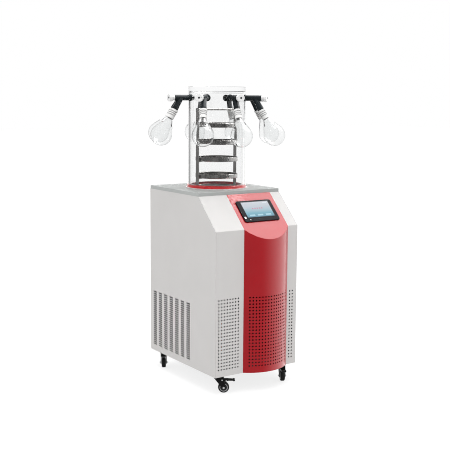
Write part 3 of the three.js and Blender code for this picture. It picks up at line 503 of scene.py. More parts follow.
def screw(name, where, axis, r):
    """A cross-head screw with a domed head, at a point on a face, pointing out along axis."""
    head = lathe([(0, -r * 0.3), (r, -r * 0.3), (r, 0), (r, r * 0.25), (r * 0.8, r * 0.5),
                  (r * 0.35, r * 0.62), (0, r * 0.62)], 20)
    bar = box_part((-r * 0.62, -r * 0.1, r * 0.4), (r * 0.62, r * 0.1, r * 0.66), 0.0001)
    turned = moved(bar, Matrix.Rotation(math.pi / 2, 4, "Z"))
    place = Matrix.Translation(where) @ Vector(axis).to_track_quat("Z", "Y").to_matrix().to_4x4()
    piece(name, joined([head, bar, turned]), zinc, "cabinet", place=place)


# ------------------------------------------------------------------ cabinet panels

RUN, DROP = 0.144, 0.142  # how far the slope goes back and down from the top plate
SLOPE_TOP_Y, SLOPE_FOOT_Z = FRONT + RUN, PLATE_UNDER - DROP
LEAN = math.atan2(RUN, DROP)  # from upright back to the slope
FOLD = 0.003  # outside radius of the panels' bends
SLOPE_PLACE = (Matrix.Translation((0, SLOPE_TOP_Y, PLATE_UNDER))
               @ Matrix.Rotation(math.atan2(DROP, RUN), 4, "X"))
FIELD_TOP = FIRST_ROW + PITCH / 2
FIELD_BOTTOM = FIRST_ROW - (ROWS - 0.5) * PITCH

RED_X, RED_WIDTH, BULGE = 0.048, 0.245, 0.046
RED_LEFT, RED_RIGHT = RED_X - RED_WIDTH / 2, RED_X + RED_WIDTH / 2
RED_HALF = RED_WIDTH / 2 - GAP
ARC = (RED_WIDTH ** 2 / 4 + BULGE ** 2) / (2 * BULGE)
ARC_Y = FRONT - BULGE + ARC
ARC_REACH = ARC * math.asin(RED_HALF / ARC)

SLOT_COLUMNS, SLOT_PITCH, SLOT_ROWS, SLOT_ROW_PITCH = 7, 0.051, 27, 0.010
SLOT_FIRST_ROW, SLOT_REAR_MOST, SLOT_LENGTH, SLOT_HEIGHT = UNDER + 0.295, 0.2445, 0.033, 0.0059
SLOT_FRONT_EDGE = SLOT_REAR_MOST - (SLOT_COLUMNS - 0.5) * SLOT_PITCH


def bend(foot_y, depth):
    """Points (y, z) up a front panel above its holes: half way, round the fold, up the slope."""
    middle_z = SLOPE_FOOT_Z + (foot_y - FRONT) * DROP / RUN - FOLD * math.tan(LEAN / 2)
    points = [(foot_y + depth, (FIELD_TOP + middle_z) / 2)]
    for a in steps_between(0, LEAN, 4):
        points.append((foot_y + FOLD - (FOLD - depth) * math.cos(a),
                       middle_z + (FOLD - depth) * math.sin(a)))
    y, z = points[-1]
    for share in (0.03, 0.5, 1):
        rise = (PANEL_TOP - z) * share
        points.append((y + rise * RUN / DROP, z + rise))
    return points


BEND_POINTS = len(bend(FRONT, 0))


def bent_sheet(node, us, holes, plan, paint):
    """A front panel in one sheet. plan(u, d) gives x, the y of its upright face and its depth.

    The grid's rows are heights up to the top of the holes, and then the numbers of bend's points.
    """
    rows = [UNDER, *(FIELD_BOTTOM + k * PITCH for k in range(ROWS + 1)), *range(1, BEND_POINTS + 1)]

    def at(u, v, d):
        x, foot_y, depth = plan(u, d)
        if v < 1:
            return x, foot_y + depth, v
        return (x, *bend(foot_y, depth)[v - 1])
    skin = piece(node + "_skin", holed_sheet(us, rows, holes, at, SHEET), paint, "cabinet",
                 [node], smooth=40, weighted=True)
    paint_inside_shade(skin, (0, 1, 0))


def vent_field(first_column, first_u, columns):
    """The holes of a field of cells that starts at grid column first_column and row 1."""
    return {(first_column + c, 1 + r):
            hole_points(first_u + c * PITCH, FIRST_ROW - (ROWS - 1 - r) * PITCH, HOLE)
            for c in range(columns) for r in range(ROWS)}


def flat_front(node, left, right, first_x, columns):
    us = [left, *(first_x + (k - 0.5) * PITCH for k in range(columns + 1)), right]
    bent_sheet(node, us, vent_field(1, first_x, columns), lambda u, d: (u, FRONT, d), grey_paint)


def red_plan(u, d):
    """u runs along the arc from its middle, and past both ends round the edges."""
    if abs(u) > ARC_REACH:
        return (RED_X + math.copysign(RED_HALF - d, u),
                ARC_Y - ARC * math.cos(ARC_REACH / ARC), abs(u) - ARC_REACH)
    a = u / ARC
    return RED_X + (ARC - d) * math.sin(a), ARC_Y - ARC * math.cos(a), d


def red_front(columns=15):
    edge = ARC_REACH + FOLD * 0.9
    us = [-edge, -ARC_REACH, *((k - columns / 2) * PITCH for k in range(columns + 1)), ARC_REACH, edge]
    holes = vent_field(2, -(columns - 1) / 2 * PITCH, columns)
    bent_sheet("front_center_panel", us, holes, red_plan, red_paint)


def side_panel(name, side):
    """A flat side with a slotted field behind, a plain part in front and a sloping corner."""
    ys = [FRONT, (FRONT + SLOT_FRONT_EDGE) / 2,
          *(SLOT_FRONT_EDGE + k * SLOT_PITCH for k in range(SLOT_COLUMNS)), REAR]
    low = SLOT_FIRST_ROW - (SLOT_ROWS - 0.5) * SLOT_ROW_PITCH
    zs = [UNDER, *(low + k * SLOT_ROW_PITCH for k in range(SLOT_ROWS + 1)), SLOPE_FOOT_Z]
    holes = {}
    for c in range(SLOT_COLUMNS):
        for r in range(SLOT_ROWS):
            y = SLOT_REAR_MOST - (SLOT_COLUMNS - 1 - c) * SLOT_PITCH
            z = SLOT_FIRST_ROW - (SLOT_ROWS - 1 - r) * SLOT_ROW_PITCH
            holes[(2 + c, 1 + r)] = hole_points(y, z, SLOT_HEIGHT / 2, (SLOT_LENGTH - SLOT_HEIGHT) / 2)
    lower = holed_sheet(ys, zs, holes, lambda u, v, d: (side * (HALF_X - d), u, v), SHEET)
    top_y = FRONT + (PANEL_TOP - SLOPE_FOOT_Z) * RUN / DROP
    corner = [(FRONT, SLOPE_FOOT_Z), (REAR, SLOPE_FOOT_Z), (REAR, PANEL_TOP), (top_y, PANEL_TOP)]
    upper = loft([[(side * x, y, z) for y, z in corner] for x in (HALF_X, HALF_X - SHEET)])
    flange = 0.014
    x0, x1 = sorted((side * (HALF_X - SHEET), side * (HALF_X - flange)))
    fold = box_part((x0, top_y + 0.004, PANEL_TOP - SHEET), (x1, REAR - 0.0025, PANEL_TOP), 0.0003)
    node = f"{name}_side_panel"
    skin = piece(node + "_skin", joined([lower, upper, fold]), grey_paint, "cabinet", [node])
    paint_inside_shade(skin, (-side, 0, 0))


def dust_filter(name, side, pleats=90):
    """A thin pleated filter pad inside the slotted field of a side."""
    pleat, cloth = 0.0012, 0.0006
    ys = steps_between(SLOT_FRONT_EDGE, SLOT_REAR_MOST + 0.5 * SLOT_PITCH - 0.006, pleats)
    ridge = [(y, 0.0004 + pleat * (k % 2)) for k, y in enumerate(ys)]
    high = SLOT_FIRST_ROW + SLOT_ROW_PITCH
    loops = [[(side * (HALF_X - SHEET - depth), y, z) for y, depth in ridge]
             + [(side * (HALF_X - SHEET - depth - cloth), y, z) for y, depth in reversed(ridge)]
             for z in (high - (SLOT_ROWS + 1.5) * SLOT_ROW_PITCH, high)]
    piece(f"{name}_dust_filter", loft(loops), filter_cloth, "cabinet", smooth=10)


def top_plate():
    """The folded top: a tray turned over, with eased edges and a round opening."""
    corner_steps, side_steps, corner, hole, t = 4, 11, 0.004, 0.103, SHEET
    depth = REAR - SLOPE_TOP_Y

    def outer(inset, z):
        base = rounded_box(0, (SLOPE_TOP_Y + REAR) / 2, 2 * (HALF_X - inset), depth - 2 * inset,
                           max(0.0015, corner - inset), corner_steps)
        made = []
        for k, point in enumerate(base):
            made.append((*point, z))
            if k % (corner_steps + 1) == corner_steps:
                follow = base[(k + 1) % len(base)]
                made.extend((*Vector(point).lerp(Vector(follow), n / side_steps), z)
                            for n in range(1, side_steps))
        return made

    def opening(r, z):
        turns = [math.atan2(y - CHAMBER_Y, x) for x, y, _ in outer(0, 0)]
        return [(r * math.cos(a), CHAMBER_Y + r * math.sin(a), z) for a in turns]

    loops = [outer(0, PLATE_UNDER), outer(0, TOP - 0.0022), outer(0.0003, TOP - 0.0012),
             outer(0.001, TOP - 0.0004), outer(0.0022, TOP), opening(hole + 0.0006, TOP),
             opening(hole, TOP - 0.0006), opening(hole, TOP - t), outer(t + 0.001, TOP - t),
             outer(t, TOP - t - 0.001), outer(t, PLATE_UNDER)]
    skin = piece("top_plate_skin", loft(loops, closed=True), plate_paint, "cabinet",
                 ["top_plate"], smooth=50, weighted=True)
    paint_inside_shade(skin, (0, 0, -1))


# ------------------------------------------------------------------ touch screen

# x, y, width and height on the slope, with y = 0 at its top
SCREEN = (0.047, -0.105, 0.194, 0.120)
RECESS = (SCREEN[0] + 0.002, SCREEN[1] + 0.007, 0.160, 0.095)
IMAGE = (*RECESS[:2], 0.1493, 0.0860)
KEY = (-0.0405, -0.1417, 0.009, 0.011)
LIGHT_X, LIGHT_Y = -0.0175, -0.1544
RECESS_CORNER = 0.0012


def box_levels(x, y, width, height, corner, levels, follow=0):
    """Loops of a rounded rectangle at (z, inset) levels. Its corners follow the inset if asked."""
    return [[(px, py, z) for px, py in rounded_box(x, y, width - 2 * inset, height - 2 * inset,
                                                   corner - follow * inset)] for z, inset in levels]


def on_slope(name, part, material, nodes=(), at=(0, 0, 0), weighted=False):
    piece(name, part, material, "cabinet", nodes, SLOPE_PLACE @ Matrix.Translation(at),
          weighted=weighted)


def screen_surround():
    rim = box_levels(*SCREEN, 0.010,
                     [(GAP, 0), (0.0038, 0), (0.0047, 0.0003), (0.0052, 0.0010), (0.0053, 0.0022)], 1)
    rim += box_levels(*RECESS, RECESS_CORNER, [(0.0053, -0.0010), (0.0049, -0.0002), (0.0034, 0)], 1)
    x, y = SCREEN[:2]
    half_x, half_y, behind = 0.088, 0.052, 0.032
    body = box_part((x - half_x, y - half_y, -behind), (x + half_x, y + half_y, 0.001))
    on_slope("screen_bezel_shell", joined([loft(rim), body]), bezel_black,
             ["screen_bezel"], weighted=True)


def display_material():
    """A lit screen: a pale sky over a blue foot, with a few plain fields in place of text."""
    mat, tree, shader = new_material("display")
    place = tree.nodes.new("ShaderNodeTexCoord").outputs["Generated"]
    split = feed(tree, tree.nodes.new("ShaderNodeSeparateXYZ"), {"Vector": place}).outputs
    height = math_node(tree, "MULTIPLY_ADD", noise(tree, 14.0, 2), 0.10, split["Y"])
    color = ramp(tree, height, [(0.05, (0.06, 0.22, 0.32)), (1.0, (0.52, 0.55, 0.60)),
                                (0.30, (0.13, 0.36, 0.46)), (0.50, (0.30, 0.45, 0.52)),
                                (0.75, (0.44, 0.49, 0.55))])
    soft = 0.004
    fields = [(0.33 + 0.085 * k, 0.56, 0.055, 0.075, (0.50, 0.20, 0.30)) for k in range(5)]
    fields.append((0.86, 0.90, 0.16, 0.05, (0.62, 0.68, 0.72)))
    fields += [(0.20 + 0.30 * k, 0.12, 0.20, 0.10, (0.32, 0.56, 0.66)) for k in range(3)]
    for x, y, width, tall, fill in fields:
        within = []
        for axis, middle, half in (("X", x, width / 2), ("Y", y, tall / 2)):
            away = math_node(tree, "ABSOLUTE", math_node(tree, "SUBTRACT", split[axis], middle))
            within.append(smooth_step(tree, away, half + soft, half - soft))
        color = mixed(tree, math_node(tree, "MULTIPLY", *within), color, (*fill, 1), "RGBA")
    feed(tree, shader, {"Base Color": (*grey(0.02), 1), "Roughness": 0.3, "Specular IOR Level": 0.15,
                        "Emission Color": color, "Emission Strength": 1.0})
    bump(tree, shader, noise(tree, 50.0, 2), 5e-6)
    return mat


def display():
    pane = box_levels(*RECESS, RECESS_CORNER, [(0.0037, GAP), (0.0051, GAP), (0.0053, 2 * GAP)])
    on_slope("display_glass_pane", loft(pane), panel_glass, ["display_glass"])
    image = box_levels(*IMAGE, 0.0008, [(0.00531, 0), (0.00536, 0)])
    on_slope("display_image", loft(image), display_material())
    key = box_levels(*KEY, 0.003, [(0.0050, 0), (0.0060, 0), (0.0064, 0.0006)])
    on_slope("screen_key", loft(key), zinc)
    lamp = lathe([(0, 0.0050), (0.0028, 0.0050), (0.0028, 0.0056), (0.0018, 0.0062), (0, 0.0064)], 24)
    on_slope("screen_light", lamp, lamp_white, at=(LIGHT_X, LIGHT_Y, 0))


# ------------------------------------------------------------------ cold trap, seal and chamber

GASKET_Z = FLANGE_TOP + GAP
TUBE_Z = GASKET_Z + 0.005 + GAP
STEPS = 128
PORTS, FIRST_PORT, SPIGOT_HOLE = 8, math.radians(-97.5), 0.0093


def cold_trap():
    """A deep pot with a rounded foot, and a flange that lies on the top plate."""
    under, radius, flange, depth, t, foot = TOP + GAP, 0.100, 0.146, 0.230, 0.002, 0.022
    floor, ease = under - depth, 0.0005
    outside = [*rounded([(0, floor), (radius + t, floor), (radius + t, under - 0.004)], foot, 8),
               (radius + t, under), (flange - ease, under), (flange, under + ease),
               (flange, FLANGE_TOP - ease), (flange - ease, FLANGE_TOP), (radius + 0.003, FLANGE_TOP)]
    inside = [(radius + 0.001, FLANGE_TOP - 0.0007),
              *rounded([(radius, FLANGE_TOP - 0.003), (radius, floor + t), (0, floor + t)], foot, 8)]
    piece("cold_trap_shell", lathe(outside + inside, STEPS), trap_steel, "cabinet",
          ["cold_trap_well"], CHAMBER)


def gasket():
    """A ring of L section, grooved outside, with a lip inside the tube."""
    outer = rounded([(0.1185, 0), (0.140, 0), (0.140, 0.0032), (0.1382, 0.0042), (0.1382, 0.0056),
                     (0.140, 0.0066), (0.140, 0.0120), (0.1343, 0.0120), (0.1343, 0.005)], 0.0012, 4)
    inner = rounded([(0.1257, 0.005), (0.1257, 0.014), (0.118, 0.014), (0.118, 0.0005), (0.1185, 0)],
                    0.0015, 4)
    section = [(r, GASKET_Z + z) for r, z in outer + inner]
    piece("chamber_gasket_ring", lathe(section, STEPS), seal_red, "cabinet",
          ["chamber_gasket"], CHAMBER)


def port_angle(k):
    return FIRST_PORT + k * 2 * math.pi / PORTS


def chamber_tube():
    """The clear tube, with a round hole for each valve. It stops a little short at both ends."""
    half, short = 0.012, 0.0006
    zs = [TUBE_Z + short, *steps_between(TUBE_Z + 0.08, PORT_Z - half, 4),
          *steps_between(PORT_Z - half, PORT_Z + half, 4)[1:], TUBE_TOP - short]
    part = holed_wall(TUBE, TUBE_WALL, zs, 5, [port_angle(k) for k in range(PORTS)], half,
                      hole_points(0, PORT_Z, SPIGOT_HOLE), 12)
    piece("chamber_tube", part, acrylic, "drying_chamber", ["chamber_cylinder"], CHAMBER, 50)


def chamber_lid():
    """A thick disc with a shoulder that drops into the tube."""
    z, inside, plug, height = TUBE_TOP + GAP, TUBE - TUBE_WALL - GAP, 0.008, 0.022
    profile = rounded([(0, z - plug), (inside, z - plug), (inside, z), (TUBE, z), (TUBE, z + height),
                       (0, z + height)], 0.0018, 4)
    piece("chamber_lid_disc", lathe(profile, STEPS), acrylic, "lid", ["chamber_lid"], CHAMBER)


# ------------------------------------------------------------------ rack and trays

POST_IN, POST_WIDTH, RACK_TOP = 0.105, 0.025, TOP + 0.371
LEVELS = [TOP + 0.046 + k * 0.079 for k in range(4)]


def rack():
    """A foot ring, two posts with a folded tab under each tray, and a channel across their tops."""
    t, half, stand, skirt = SHEET, POST_WIDTH / 2, FLANGE_TOP + GAP, 0.010
    low, high, ease = 0.1015, 0.113, 0.0006
    foot = loop([(low, stand), (high, stand), (high, stand + 0.003), (low, stand + 0.003)], ease, 1)
    reach = POST_IN + t
    channel = (rounded([(-half, RACK_TOP - skirt), (-half, RACK_TOP), (half, RACK_TOP),
                        (half, RACK_TOP - skirt)], 0.0022, 5)
               + rounded([(half - t, RACK_TOP - skirt), (half - t, RACK_TOP - t),
                          (t - half, RACK_TOP - t), (t - half, RACK_TOP - skirt)], 0.0010, 4))
    parts = [lathe(foot, 96), loft([[(x, y, z) for y, z in channel] for x in (-reach, reach)])]
    for side, _ in SIDES:
        x0, x1 = sorted((side * POST_IN, side * reach))
        parts.append(box_part((x0, -half, stand + 0.001), (x1, half, RACK_TOP - 0.001), 0.0005))
        tip, root, behind = (side * (POST_IN + x) for x in (-0.017, 0.0006, -0.0006))
        for z in LEVELS:
            top, foot_z = z - GAP, z - 0.011
            tab = (rounded([(tip, top), (root, top), (root, foot_z)], 0.0030, 4)
                   + rounded([(behind, foot_z), (behind, top - t), (tip, top - t)], 0.0014, 4))
            parts.append(loft([[(x, y, h) for x, h in tab] for y in (-half + 0.001, half - 0.001)]))
    piece("rack_frame", joined(parts), rack_steel, "cabinet", ["shelf_rack"], CHAMBER,
          weighted=True)
    for side, word in SIDES:
        for k, z in enumerate((RACK_TOP - 0.006, FLANGE_TOP + 0.012)):
            screw(f"rack_screw_{word}_{k + 1}", (side * reach, CHAMBER_Y, z), (side, 0, 0),
                  0.003)


def tray_dish(level):
    """A pressed dish with a rounded foot, a rolled rim and an eyelet in front."""
    r, h, t, foot, roll, half = 0.100, 0.020, 0.0015, 0.003, 0.0018, 0.0055
    eye_z, eye, wire = 0.45 * h, 0.0040, 0.0011
    name = f"tray_{level + 1}"
    zs = [foot + 0.0002, *steps_between(eye_z - half, eye_z + half, 4), h - 0.002]
    band = holed_wall(r, t, zs, 1, [-math.pi / 2], half, hole_points(0, eye_z, eye), 70)
    floor = lathe([(0, 0), (r - foot, 0), (r - 0.3 * foot, 0.3 * foot), (r, foot + 0.0003),
                   (r - t, foot + 0.0003), (r - foot, t), (0, t)], 96)
    rim = lathe(circle(r - roll, h - roll, roll, 12), 96)
    place = CHAMBER @ Matrix.Translation((0, 0, LEVELS[level]))
    piece(f"{name}_dish", joined([band, floor, rim]), tray_steel_painted_reflections, "cabinet", [name], place, 50)
    put = place @ Matrix.Translation((0, -r, eye_z)) @ Matrix.Rotation(math.pi / 2, 4, "X")
    piece(f"{name}_eyelet", lathe(circle(eye + wire, 0, wire, 8), 24), zinc, "cabinet",
          place=put)


# ------------------------------------------------------------------ valves, knobs and flasks

OUTER = 0.218  # from the chamber's axis to a valve's outer end
BRANCH_AT, TILT, BRANCH = 0.185, math.radians(30), 0.062
TURNS = [-5, 0, 0, 0, -5, 11, 0, 11]  # how far each branch is turned about its valve, in degrees
ALONG_X = Matrix.Rotation(math.pi / 2, 4, "Y")
BULB, NECK, GLASS_WALL = 0.050, 0.014, 0.0010


def port_place(k):
    """X out from the chamber's axis, Z up, at the height of the ports."""
    return Matrix.Translation((0, CHAMBER_Y, PORT_Z)) @ Matrix.Rotation(port_angle(k), 4, "Z")


def branch_place(k):
    """Z down the branch from the valve's axis."""
    return (port_place(k) @ Matrix.Rotation(math.radians(TURNS[k]), 4, "X")
            @ Matrix.Translation((BRANCH_AT, 0, 0)) @ Matrix.Rotation(math.pi - TILT, 4, "Y"))


def valve(k):
    """A stem through the tube's wall with a collar outside it, and a branch with a barbed end."""
    wall, bore, collar = TUBE + GAP, 0.004, 0.006
    stem = rounded([(bore, 0.117), (0.009, 0.117), (0.009, wall), (0.016, wall), (0.016, wall + collar),
                    (0.013, wall + collar), (0.013, wall + 0.010), (0.0126, wall + 0.011),
                    (0.0130, wall + 0.012), (0.013, OUTER), (0.008, OUTER), (0.008, OUTER - 0.014),
                    (bore, OUTER - 0.014)], 0.0012)
    branch = rounded([(0, -0.004), (0.0135, -0.004), (0.0138, 0.045), (0.0145, 0.047), (0.0145, BRANCH),
                      (0.011, BRANCH), (0.010, BRANCH + 0.024), (bore, BRANCH + 0.024), (bore, 0.02),
                      (0, 0.02)], 0.0010)
    body = joined([moved(lathe(stem, 48), port_place(k) @ ALONG_X),
                   moved(lathe(branch, 48), branch_place(k))])
    piece(f"valve_{k + 1}_body", body, valve_black, "drying_chamber",
          [f"valve_body_{k + 1}"])


def fluted(part, count, depth, rim):
    """A turned part with flutes down the side of its widest rim."""
    verts = []
    for x, y, z in part[0]:
        r = math.hypot(x, y)
        groove = (0.5 + 0.5 * math.cos(count * math.atan2(y, x))) ** 4
        shrink = 1 - depth * max(0.0, min(1.0, (r - rim) / 0.0013)) * groove / max(r, 1e-6)
        verts.append((x * shrink, y * shrink, z))
    return verts, part[1]


def knob(k):
    """A fluted grip, the end of its plug and a pointer mark."""
    x = OUTER + GAP
    place = port_place(k) @ ALONG_X
    body = f"knob_{k + 1}"
    grip = rounded([(0, x - 0.0137), (0.0070, x - 0.0137), (0.0070, x), (0.0125, x), (0.0135, x + 0.006),
                    (0.0180, x + 0.0150), (0.0180, x + 0.027), (0.0048, x + 0.027),
                    (0.0048, x + 0.0262), (0, x + 0.0262)], 0.0016, 4)
    piece(f"{body}_grip", fluted(lathe(grip, 96), 12, 0.0006, 0.0165), knob_white, body,
          [f"valve_knob_{k + 1}"], place)
    plug = rounded([(0, x + 0.0255), (0.0046, x + 0.0255), (0.0046, x + 0.0272), (0, x + 0.0276)], 0.0006)
    piece(f"{body}_plug", lathe(plug, 32), valve_black, body, place=place)
    mark = box_part((-0.0005, 0.0075, x + 0.0268), (0.0005, 0.0145, x + 0.0272), 0.0001)
    piece(f"{body}_mark", mark, valve_black, body, place=place)


def bulb_arc(radius, neck, neck_z, bulb_z):
    """The round of a pear-shaped bulb, from where its cone leaves it down to its foot."""
    rise = bulb_z - neck_z
    lean = math.degrees(math.asin(radius / math.hypot(rise, neck)) - math.atan2(neck, rise))
    points = arc(0, bulb_z, radius, -lean, 90, 36)
    return [*points[:-1], (0, points[-1][1])]


def flask(k):
    """A pear-shaped flask in one thin wall, and the ribbed joint that holds it on its branch."""
    start = BRANCH + GAP
    bulb_z, neck_z = start + 0.132, start + 0.050
    bulb = bulb_arc(BULB, NECK, neck_z, bulb_z)
    rim = rounded([(0.0122, start), (0.0138, start), (NECK, start + 0.012), (NECK, neck_z)], 0.0006)
    shoulder = rounded([(NECK, neck_z - 0.006), (NECK, neck_z), bulb[0]], 0.012, 6)
    inside = [*bulb_arc(BULB - GLASS_WALL, NECK - GLASS_WALL, neck_z, bulb_z)[::-1],
              (NECK - GLASS_WALL, neck_z - 0.004), (0.0129, start + 0.024), (0.0124, start + 0.002)]
    place = branch_place(k)
    piece(f"flask_{k + 1}_glass", lathe([*rim[:-1], *shoulder[:-1], *bulb, *inside], 96), flask_glass,
          "drying_chamber", [f"flask_{k + 1}"], place, 60)

    base, ease = 0.0142, 0.0008
    sleeve, light = [(base, start + 0.001)], []
    for top, bottom, r in ((0.001, 0.010, 0.0178), (0.0145, 0.0185, 0.0172), (0.023, 0.027, 0.0170),
                           (0.0315, 0.046, 0.0162)):
        top, bottom = start + top, start + bottom
        sleeve += [(r - ease, top), (r, top + ease), (r, bottom - ease), (r - ease, bottom),
                   (0.0150, bottom + 0.0006)]
        light.append((top, bottom))
    sleeve.append((base, start + 0.047))
    joint = piece(f"flask_{k + 1}_joint", lathe(sleeve, 48), joint_white, "drying_chamber",
                  place=place)
    # Faces outside the ribs take the darker grey: painted shade in the grooves.
    joint.data.materials.append(joint_groove_painted_shade)
    back = (Matrix.Translation(ORIGIN) @ place).inverted()
    for face in joint.data.polygons:
        z = (back @ face.center).z
        if not any(top - 1e-4 < z < bottom + 1e-4 for top, bottom in light):
            face.material_index = 1


# ------------------------------------------------------------------ casters

# name, side, end, heading of the trail in degrees, and whether it has a brake
CASTERS = (("front_left", -1, -1, -34, True), ("front_right", 1, -1, -118, True),
           ("rear_left", -1, 1, -118, False), ("rear_right", 1, 1, 62, False))
TRAIL, WHEEL, HALF_WHEEL, INSET = 0.026, 0.025, 0.010, 0.045
CHEEK_IN = HALF_WHEEL + 0.0015
CHEEK_OUT = CHEEK_IN + 0.003


def facing(place, x, y, z, way):
    """A frame at a point, with Z along Y or against it."""
    return place @ Matrix.Translation((x, y, z)) @ Matrix.Rotation(-way * math.pi / 2, 4, "X")


def caster(name, side, end, heading, brake):
    place = (Matrix.Translation((side * (HALF_X - INSET), end * (REAR - INSET), 0))
             @ Matrix.Rotation(math.radians(heading), 4, "Z"))
    caster_fork(name, place)
    caster_wheel(name, place @ Matrix.Translation((TRAIL, 0, WHEEL)))
    if brake:
        brake_pedal(name, place)


def caster_fork(name, place):
    """A swivel crown, two cheeks joined by a web and an arch over the wheel, and the axle's nuts."""
    top, bore, grow = UNDER - 0.003 - GAP, 0.0053, 0.0005
    crown = lathe(rounded([(bore, top), (0.024, top), (0.024, top - 0.0022), (0.0220, top - 0.0034),
                           (0.0236, top - 0.0046), (0.0225, top - 0.0085), (0.0188, top - 0.0135),
                           (bore, top - 0.0135)], 0.0010), 48)
    cheek = [(-0.0208, top - 0.0030), (-0.0200, top - 0.0075), *arc(TRAIL, WHEEL, 0.008, 180, 360, 10),
             (0.0300, top - 0.026), (0.0268, top - 0.0095), (0.0205, top - 0.0030)]
    web = [(-0.018, top - 0.0075), (-0.0036, top - 0.028), (0.0000, top - 0.028), (-0.010, top - 0.0075)]
    bridge = [(0.0200, top - 0.0080), (0.0268, top - 0.0110), *arc(TRAIL, WHEEL, 0.028, 84, 132, 8),
              (-0.0100, top - 0.0080)]
    parts = [crown, on_edge(cheek, -CHEEK_OUT, -CHEEK_IN), on_edge(cheek, CHEEK_IN, CHEEK_OUT),
             *(on_edge(outline, -CHEEK_IN - grow, CHEEK_IN + grow, 0.0005) for outline in (web, bridge))]
    piece(f"{name}_caster_fork", joined(parts), caster_black, f"{name}_caster",
          [f"caster_fork_{name}"], place, weighted=True)
    nut = prism(circle(0, 0, 0.0052, 6), 0, 0.0032, 0.0004)
    tip = lathe([(0, 0.0030), (0.0028, 0.0030), (0.0028, 0.0050), (0.0020, 0.0056), (0, 0.0056)], 20)
    for k, way in enumerate((-1, 1)):
        piece(f"{name}_axle_nut_{k + 1}", joined([nut, tip]), zinc, f"{name}_caster",
              place=facing(place, TRAIL, way * CHEEK_OUT, WHEEL, way))


def caster_wheel(name, place):
    """A tyre on a hub with a hollow face, and a light ring on each side."""
    half, body = HALF_WHEEL, f"{name}_wheel"
    tread = both_ways([(0.0182, -half + 0.0008), (0.0190, -half), (0.0222, -half), (WHEEL, -0.0066)])
    piece(f"{name}_tyre", across(rounded(tread, 0.0016, 4), 64), tyre, body,
          [f"caster_wheel_{name}"], place)
    hub = both_ways([(0.0033, -half), (0.0070, -half), (0.0082, -half + 0.0036), (0.0150, -half + 0.0044),
                     (0.0164, -half + 0.0008), (0.0184, -half + 0.0006)])
    piece(f"{name}_hub", across(rounded(hub, 0.0008), 64), wheel_hub, body, place=place)
    for k, way in enumerate((-1, 1)):
        ring = rounded([(0.0152, way * (half - 0.0032)), (0.0158, way * (half + 0.0002)),
                        (0.0184, way * (half + 0.0002)), (0.0184, way * (half - 0.0012))], 0.0005)
        piece(f"{name}_hub_ring_{k + 1}", across(ring, 64), hub_ring, body, place=place)


def brake_pedal(name, place):
    """A lever with a thick root, a ribbed middle and a rounded bar across its tip."""
    x, z, tip, half, bar = 0.019, 0.060, 0.077, 0.0105, 0.005  # x and z of its hinge, and its reach
    profile = [(x - 0.005, z - 0.003), (x + 0.004, z - 0.0062), (x + 0.019, z - 0.0066),
               (x + 0.028, z - 0.0034), *arc(tip - bar, z - 0.001, bar, -150, 150, 15),
               (x + 0.022, z + 0.0030), (x + 0.004, z + 0.0042), (x - 0.005, z + 0.0025)]
    ribs = [box_part((at - 0.0008, -0.0085, z + 0.0005), (at + 0.0008, 0.0085, z + 0.0042), 0.0002)
            for at in (x + 0.026 + k * 0.0045 for k in range(5))]
    body = f"{name}_pedal"
    piece(f"{body}_plate", joined([on_edge(profile, -half, half, 0.0008), *ribs]), caster_black,
          body, [f"brake_pedal_{name}"], place, weighted=True)
    head = lathe([(0, 0), (0.0032, 0), (0.0032, 0.0008), (0.0020, 0.0018), (0, 0.0020)], 20)
    small = moved(head, Matrix.Scale(0.75, 4))
    for k, way in enumerate((-1, 1)):
        piece(f"{name}_pedal_rivet_{k + 1}", head, zinc, f"{name}_caster",
              place=facing(place, x, way * CHEEK_OUT, z, way))
        piece(f"{body}_pin_{k + 1}", small, zinc, body,
              place=facing(place, x + 0.018, way * half, z - 0.003, way))


# ------------------------------------------------------------------ back of the unit

INLET_X, INLET_Z, FACE_Y = -0.150, UNDER + 0.060, REAR + GAP + 0.004  # of the inlet's flange
INLET_WIDTH, INLET_HEIGHT = 0.048, 0.062  # of the hole for the inlet
VACUUM_Z, VACUUM_R = PLATE_UNDER - 0.032, 0.013


def on_back(x, y, z):
    """A frame on the back: X towards the left side, Y up and Z out."""
    return Matrix.Translation((x, y, z)) @ Matrix(((-1, 0, 0), (0, 0, 1), (0, 1, 0))).to_4x4()


def rear_panel():
    """The back, with two columns of vent slots, the inlet's hole and the vacuum line's hole."""
    half = HALF_X - SHEET - GAP
    outline = [(-half, UNDER), (half, UNDER), (half, PANEL_TOP), (-half, PANEL_TOP)]
    slots, aside, pitch, r, reach = 8, 0.075, 0.026, 0.003, 0.052
    holes = [hole_points(side * aside, FIRST_ROW - k * pitch, r, reach)
             for side, _ in SIDES for k in range(slots)]
    holes.append(rounded_box(-INLET_X, INLET_Z, INLET_WIDTH, INLET_HEIGHT, 0.002, 2))
    holes.append(circle(0, VACUUM_Z, VACUUM_R + GAP, 32))
    skin = piece("rear_panel_skin", sheet_with_holes(outline, holes, SHEET), grey_paint,
                 "cabinet", ["rear_panel"], on_back(0, REAR, 0), 25)
    paint_inside_shade(skin, (0, -1, 0))


